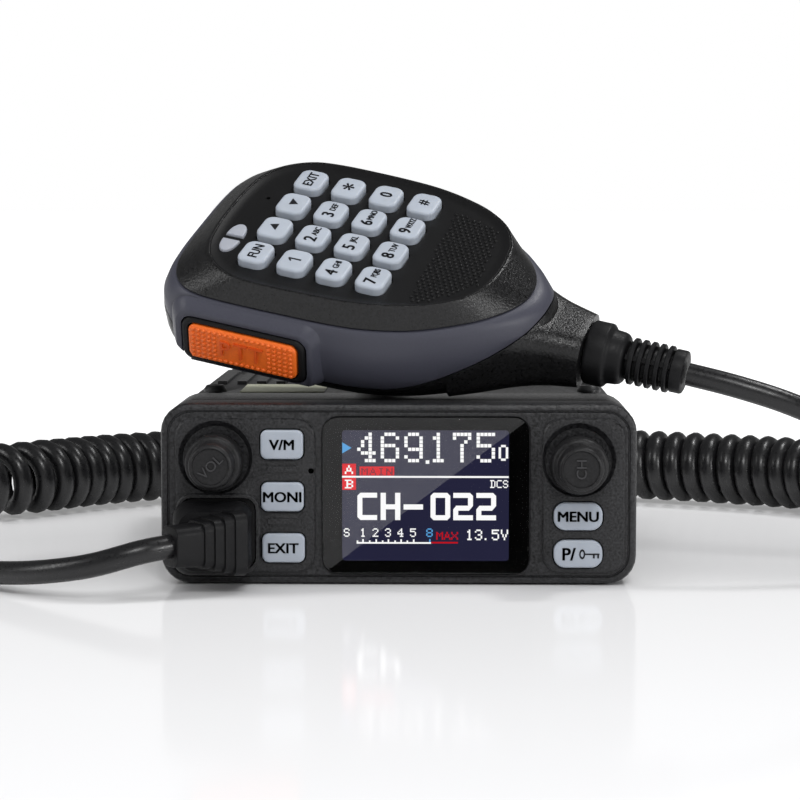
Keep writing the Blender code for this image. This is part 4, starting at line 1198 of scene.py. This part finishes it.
def bar_zero(left, right):
    """A bold figure 0 with its corners cut, as four strokes."""
    stroke, cut, top, bottom = BAR_STROKE, BAR_CUT, BAR_TOP, BAR_BOTTOM
    shapes = []
    for edge, inner, toward in ((top, top + stroke, 1), (bottom, bottom - stroke, -1)):
        shapes.append([
            (left + cut, edge), (right - cut, edge), (right, edge + toward * cut),
            (right - stroke, inner), (left + stroke, inner), (left, edge + toward * cut),
        ])
    for edge, inner in ((left, left + stroke), (right, right - stroke)):
        shapes.append([
            (edge, top + cut), (inner, top + stroke), (inner, bottom - stroke), (edge, bottom - cut),
        ])
    return shapes


def chamfered_bars():
    """The bold channel name: C, H, a dash and three figures."""
    stroke, cut, top, bottom = BAR_STROKE, BAR_CUT, BAR_TOP, BAR_BOTTOM
    left, right = 3.46, 7.60
    cee = [
        (left + cut, top), (right, top), (right, top + stroke), (left + stroke, top + stroke),
        (left + stroke, bottom - stroke), (right, bottom - stroke), (right, bottom),
        (left + cut, bottom), (left, bottom - cut), (left, top + cut),
    ]
    shapes = [cee, *bar_zero(18.83, 22.97), *bar_two(23.60, 27.74), *bar_two(28.45, 32.59)]
    patches = [screen_shape(shape) for shape in shapes]
    patches.append(screen_patch(8.34, top, 9.44, bottom))
    patches.append(screen_patch(11.38, top, 12.48, bottom))
    patches.append(screen_patch(9.44, 15.94, 11.38, 16.99))
    patches.append(screen_patch(13.16, 15.94, 17.25, 17.04))
    return patches


def word_patches(word, left, top, pitch, step, tall):
    patches = []
    for index, letter in enumerate(word):
        spot = (left + pitch * index, top)
        patches += glyph_patches(SMALL_GLYPHS[letter], *spot, step, JOINED_DOTS, tall)
    return patches


def screen_layer(name, patches, depth, material):
    """Flat shapes of one colour, at a depth in front of the display module."""
    bm = bmesh.new()
    for patch in patches:
        corners = [bm.verts.new((point.x, depth, point.z)) for point in patch]
        face = bm.faces.new(corners)
        face.normal_update()
        if face.normal.y > 0:
            face.normal_flip()
    mesh = bpy.data.meshes.new(name)
    bm.to_mesh(mesh)
    bm.free()
    new_piece(name, mesh, material, "root")


def build_lens():
    back = LENS_FRONT_Y + 1.3
    corner, steps = 3.2, 12
    rings = []
    for inset, depth in ((0.5, 0.0), (0.22, 0.06), (0.06, 0.2), (0.0, 0.42), (0.0, 0.55)):
        size = (LENS_SIZE[0] - 2 * inset, LENS_SIZE[1] - 2 * inset)
        rings.append(at_y(rounded_rect(*size, corner - inset, steps, LENS_CENTRE), LENS_FRONT_Y + depth))
    new_piece("lens_pane", lofted(rings), LENS_GLASS, "root", ("display_lens",))
    outline = rounded_rect(*LENS_SIZE, corner, steps, LENS_CENTRE)
    border = lofted([at_y(outline, LENS_FRONT_Y + 0.75), at_y(outline, back)])
    window = rounded_rect(35.0, 27.58, 0.7, 8, (5.7, 19.01))
    border = combined(border, ("DIFFERENCE", lofted([at_y(window, -63), at_y(window, -55)])))
    new_piece("lens_border", border, BEZEL_BLACK, "root")


def small_row(letters, top, step, tall):
    """Small glyphs on one line, each given as (letter, place across)."""
    patches = []
    for letter, left in letters:
        patches += glyph_patches(SMALL_GLYPHS[letter], left, top, step, JOINED_DOTS, tall)
    return patches


def lit_patches():
    """All that shows white: frequency, line, code, channel name, meter and voltage."""
    lit = []
    for letter, left in (("4", 3.43), ("6", 8.36), ("9", 13.32), ("1", 19.30), ("7", 23.49), ("5", 28.47)):
        lit += glyph_patches(DOT_GLYPHS[letter], left, 0.81, 0.792, 0.88)
    lit.append(screen_patch(17.80, 6.63, 18.56, 7.37))
    lit += small_row([("0", 33.09)], 3.36, 0.498, 0.477)
    lit.append(screen_patch(0.26, 9.94, 35.21, 10.33))
    lit += word_patches("DCS", 31.33, 10.78, 1.337, 0.220, 0.236)
    lit += chamfered_bars()
    meter = [("S", 0.58), ("1", 4.25), ("2", 6.63), ("3", 9.26), ("4", 11.88), ("5", 14.53)]
    lit += small_row(meter, 21.03, 0.246, 0.257)
    voltage = [("1", 26.56), ("3", 28.16), ("5", 31.70), ("V", 33.61)]
    lit += small_row(voltage, 21.24, 0.304, 0.320)
    lit.append(screen_patch(30.21, 23.07, 30.57, 23.47))
    lit.append(screen_patch(3.28, 23.94, 18.93, 24.28))
    ticks = (3.30, 4.46, 5.87, 7.24, 8.60, 9.81, 11.22, 12.48, 13.79, 15.13)
    for index, left in enumerate(ticks):
        top = 23.34 if index % 2 else 23.60
        lit.append(screen_patch(left, top, left + 0.34, 23.97))
    return lit


def build_display():
    back = LENS_FRONT_Y + 1.3
    build_lens()
    navy = glow("screen_navy", (0.0180, 0.0180, 0.0450))
    navy.node_tree.nodes["Principled BSDF"].inputs["Specular IOR Level"].default_value = 0.95
    white = glow("screen_white", (1.0, 1.0, 1.0))
    blue = glow("screen_blue", (0.10, 0.36, 0.72))
    red = glow("screen_red", (0.74, 0.022, 0.030))
    dim = glow("screen_dim", (0.20, 0.028, 0.045))
    deep = glow("screen_deep_red", (0.52, 0.006, 0.012))
    screen_layer("screen_back", [screen_patch(0, 0, *PICTURE_SIZE)], back + 0.1, navy)
    screen_layer("screen_lit", lit_patches(), back - 0.02, white)
    badges = [
        screen_patch(0.29, 7.39, 3.17, 9.94),
        screen_patch(0.29, 10.36, 3.17, 12.90),
        screen_patch(3.93, 7.97, 11.20, 9.86),
    ]
    screen_layer("screen_badges", badges, back + 0.02, red)
    badge = []
    for letter, top in (("A", 7.71), ("B", 10.75)):
        badge += small_row([(letter, 0.81)], top, 0.351, 0.262)
    screen_layer("screen_badge_letters", badge, back - 0.03, white)
    word = word_patches("MAIN", 4.30, 8.29, 1.731, 0.273, 0.210)
    screen_layer("screen_badge_word", word, back - 0.03, dim)
    marks = [screen_shape([(0.29, 2.88), (2.23, 4.04), (0.29, 5.22)])]
    marks.append(screen_patch(18.54, 23.28, 18.85, 23.94))
    marks += small_row([("8", 17.93)], 21.03, 0.273, 0.257)
    screen_layer("screen_blue_marks", marks, back - 0.03, blue)
    peak = word_patches("MAX", 20.03, 21.76, 1.573, 0.288, 0.236)
    peak.append(screen_patch(19.01, 23.86, 24.59, 24.20))
    screen_layer("screen_peak", peak, back - 0.04, deep)


# CAD nodes that keep their shape


def refined(node, bevel=0.15, angle=35.0):
    """A copy of a CAD node with welded points, smooth shading and softened edges, in the node's place."""
    bm = bmesh.new()
    bm.from_mesh(NODES[node].data)
    bmesh.ops.remove_doubles(bm, verts=bm.verts, dist=2e-6)
    bmesh.ops.dissolve_limit(bm, angle_limit=math.radians(0.8), verts=bm.verts, edges=bm.edges)
    mesh = bpy.data.meshes.new(node)
    bm.to_mesh(mesh)
    bm.free()
    mesh = softened(mesh, bevel * MM, 2, angle) if bevel else mesh
    mesh.transform(Matrix.Scale(1 / MM, 4))
    slot = SLOTS[node]
    body = NODES[node]["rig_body"]
    return new_piece(node + "_skin", mesh, SLOT_MATERIALS[slot], body, (node,), angle=25)


def build_carried():
    for name, node in NODES.items():
        node.data.materials.clear()
        node.data.materials.append(SLOT_MATERIALS[SLOTS[name]])
    for name, bevel in (
        ("front_panel", 0.12), ("head_shell", 0.3), ("chassis", 0.2), ("top_cover", 0.2),
        ("label_plate", 0.1), ("mic_hanger_button", 0.25),
        *((f"cover_screw_{index}", 0.15) for index in (1, 2, 3, 4)),
        ("antenna_socket", 0.15), ("power_inlet", 0.15), ("speaker_jack", 0.1),
    ):
        refined(name, bevel)


build_camera()
build_light()
build_cord(build_plug())
build_buttons()
build_keys()
build_knobs()
build_mic_front()
build_speaker_dots()
build_mic_body()
build_ptt()
build_strain_relief()
build_display()
build_carried()
build_floor()
build_reflection_card()
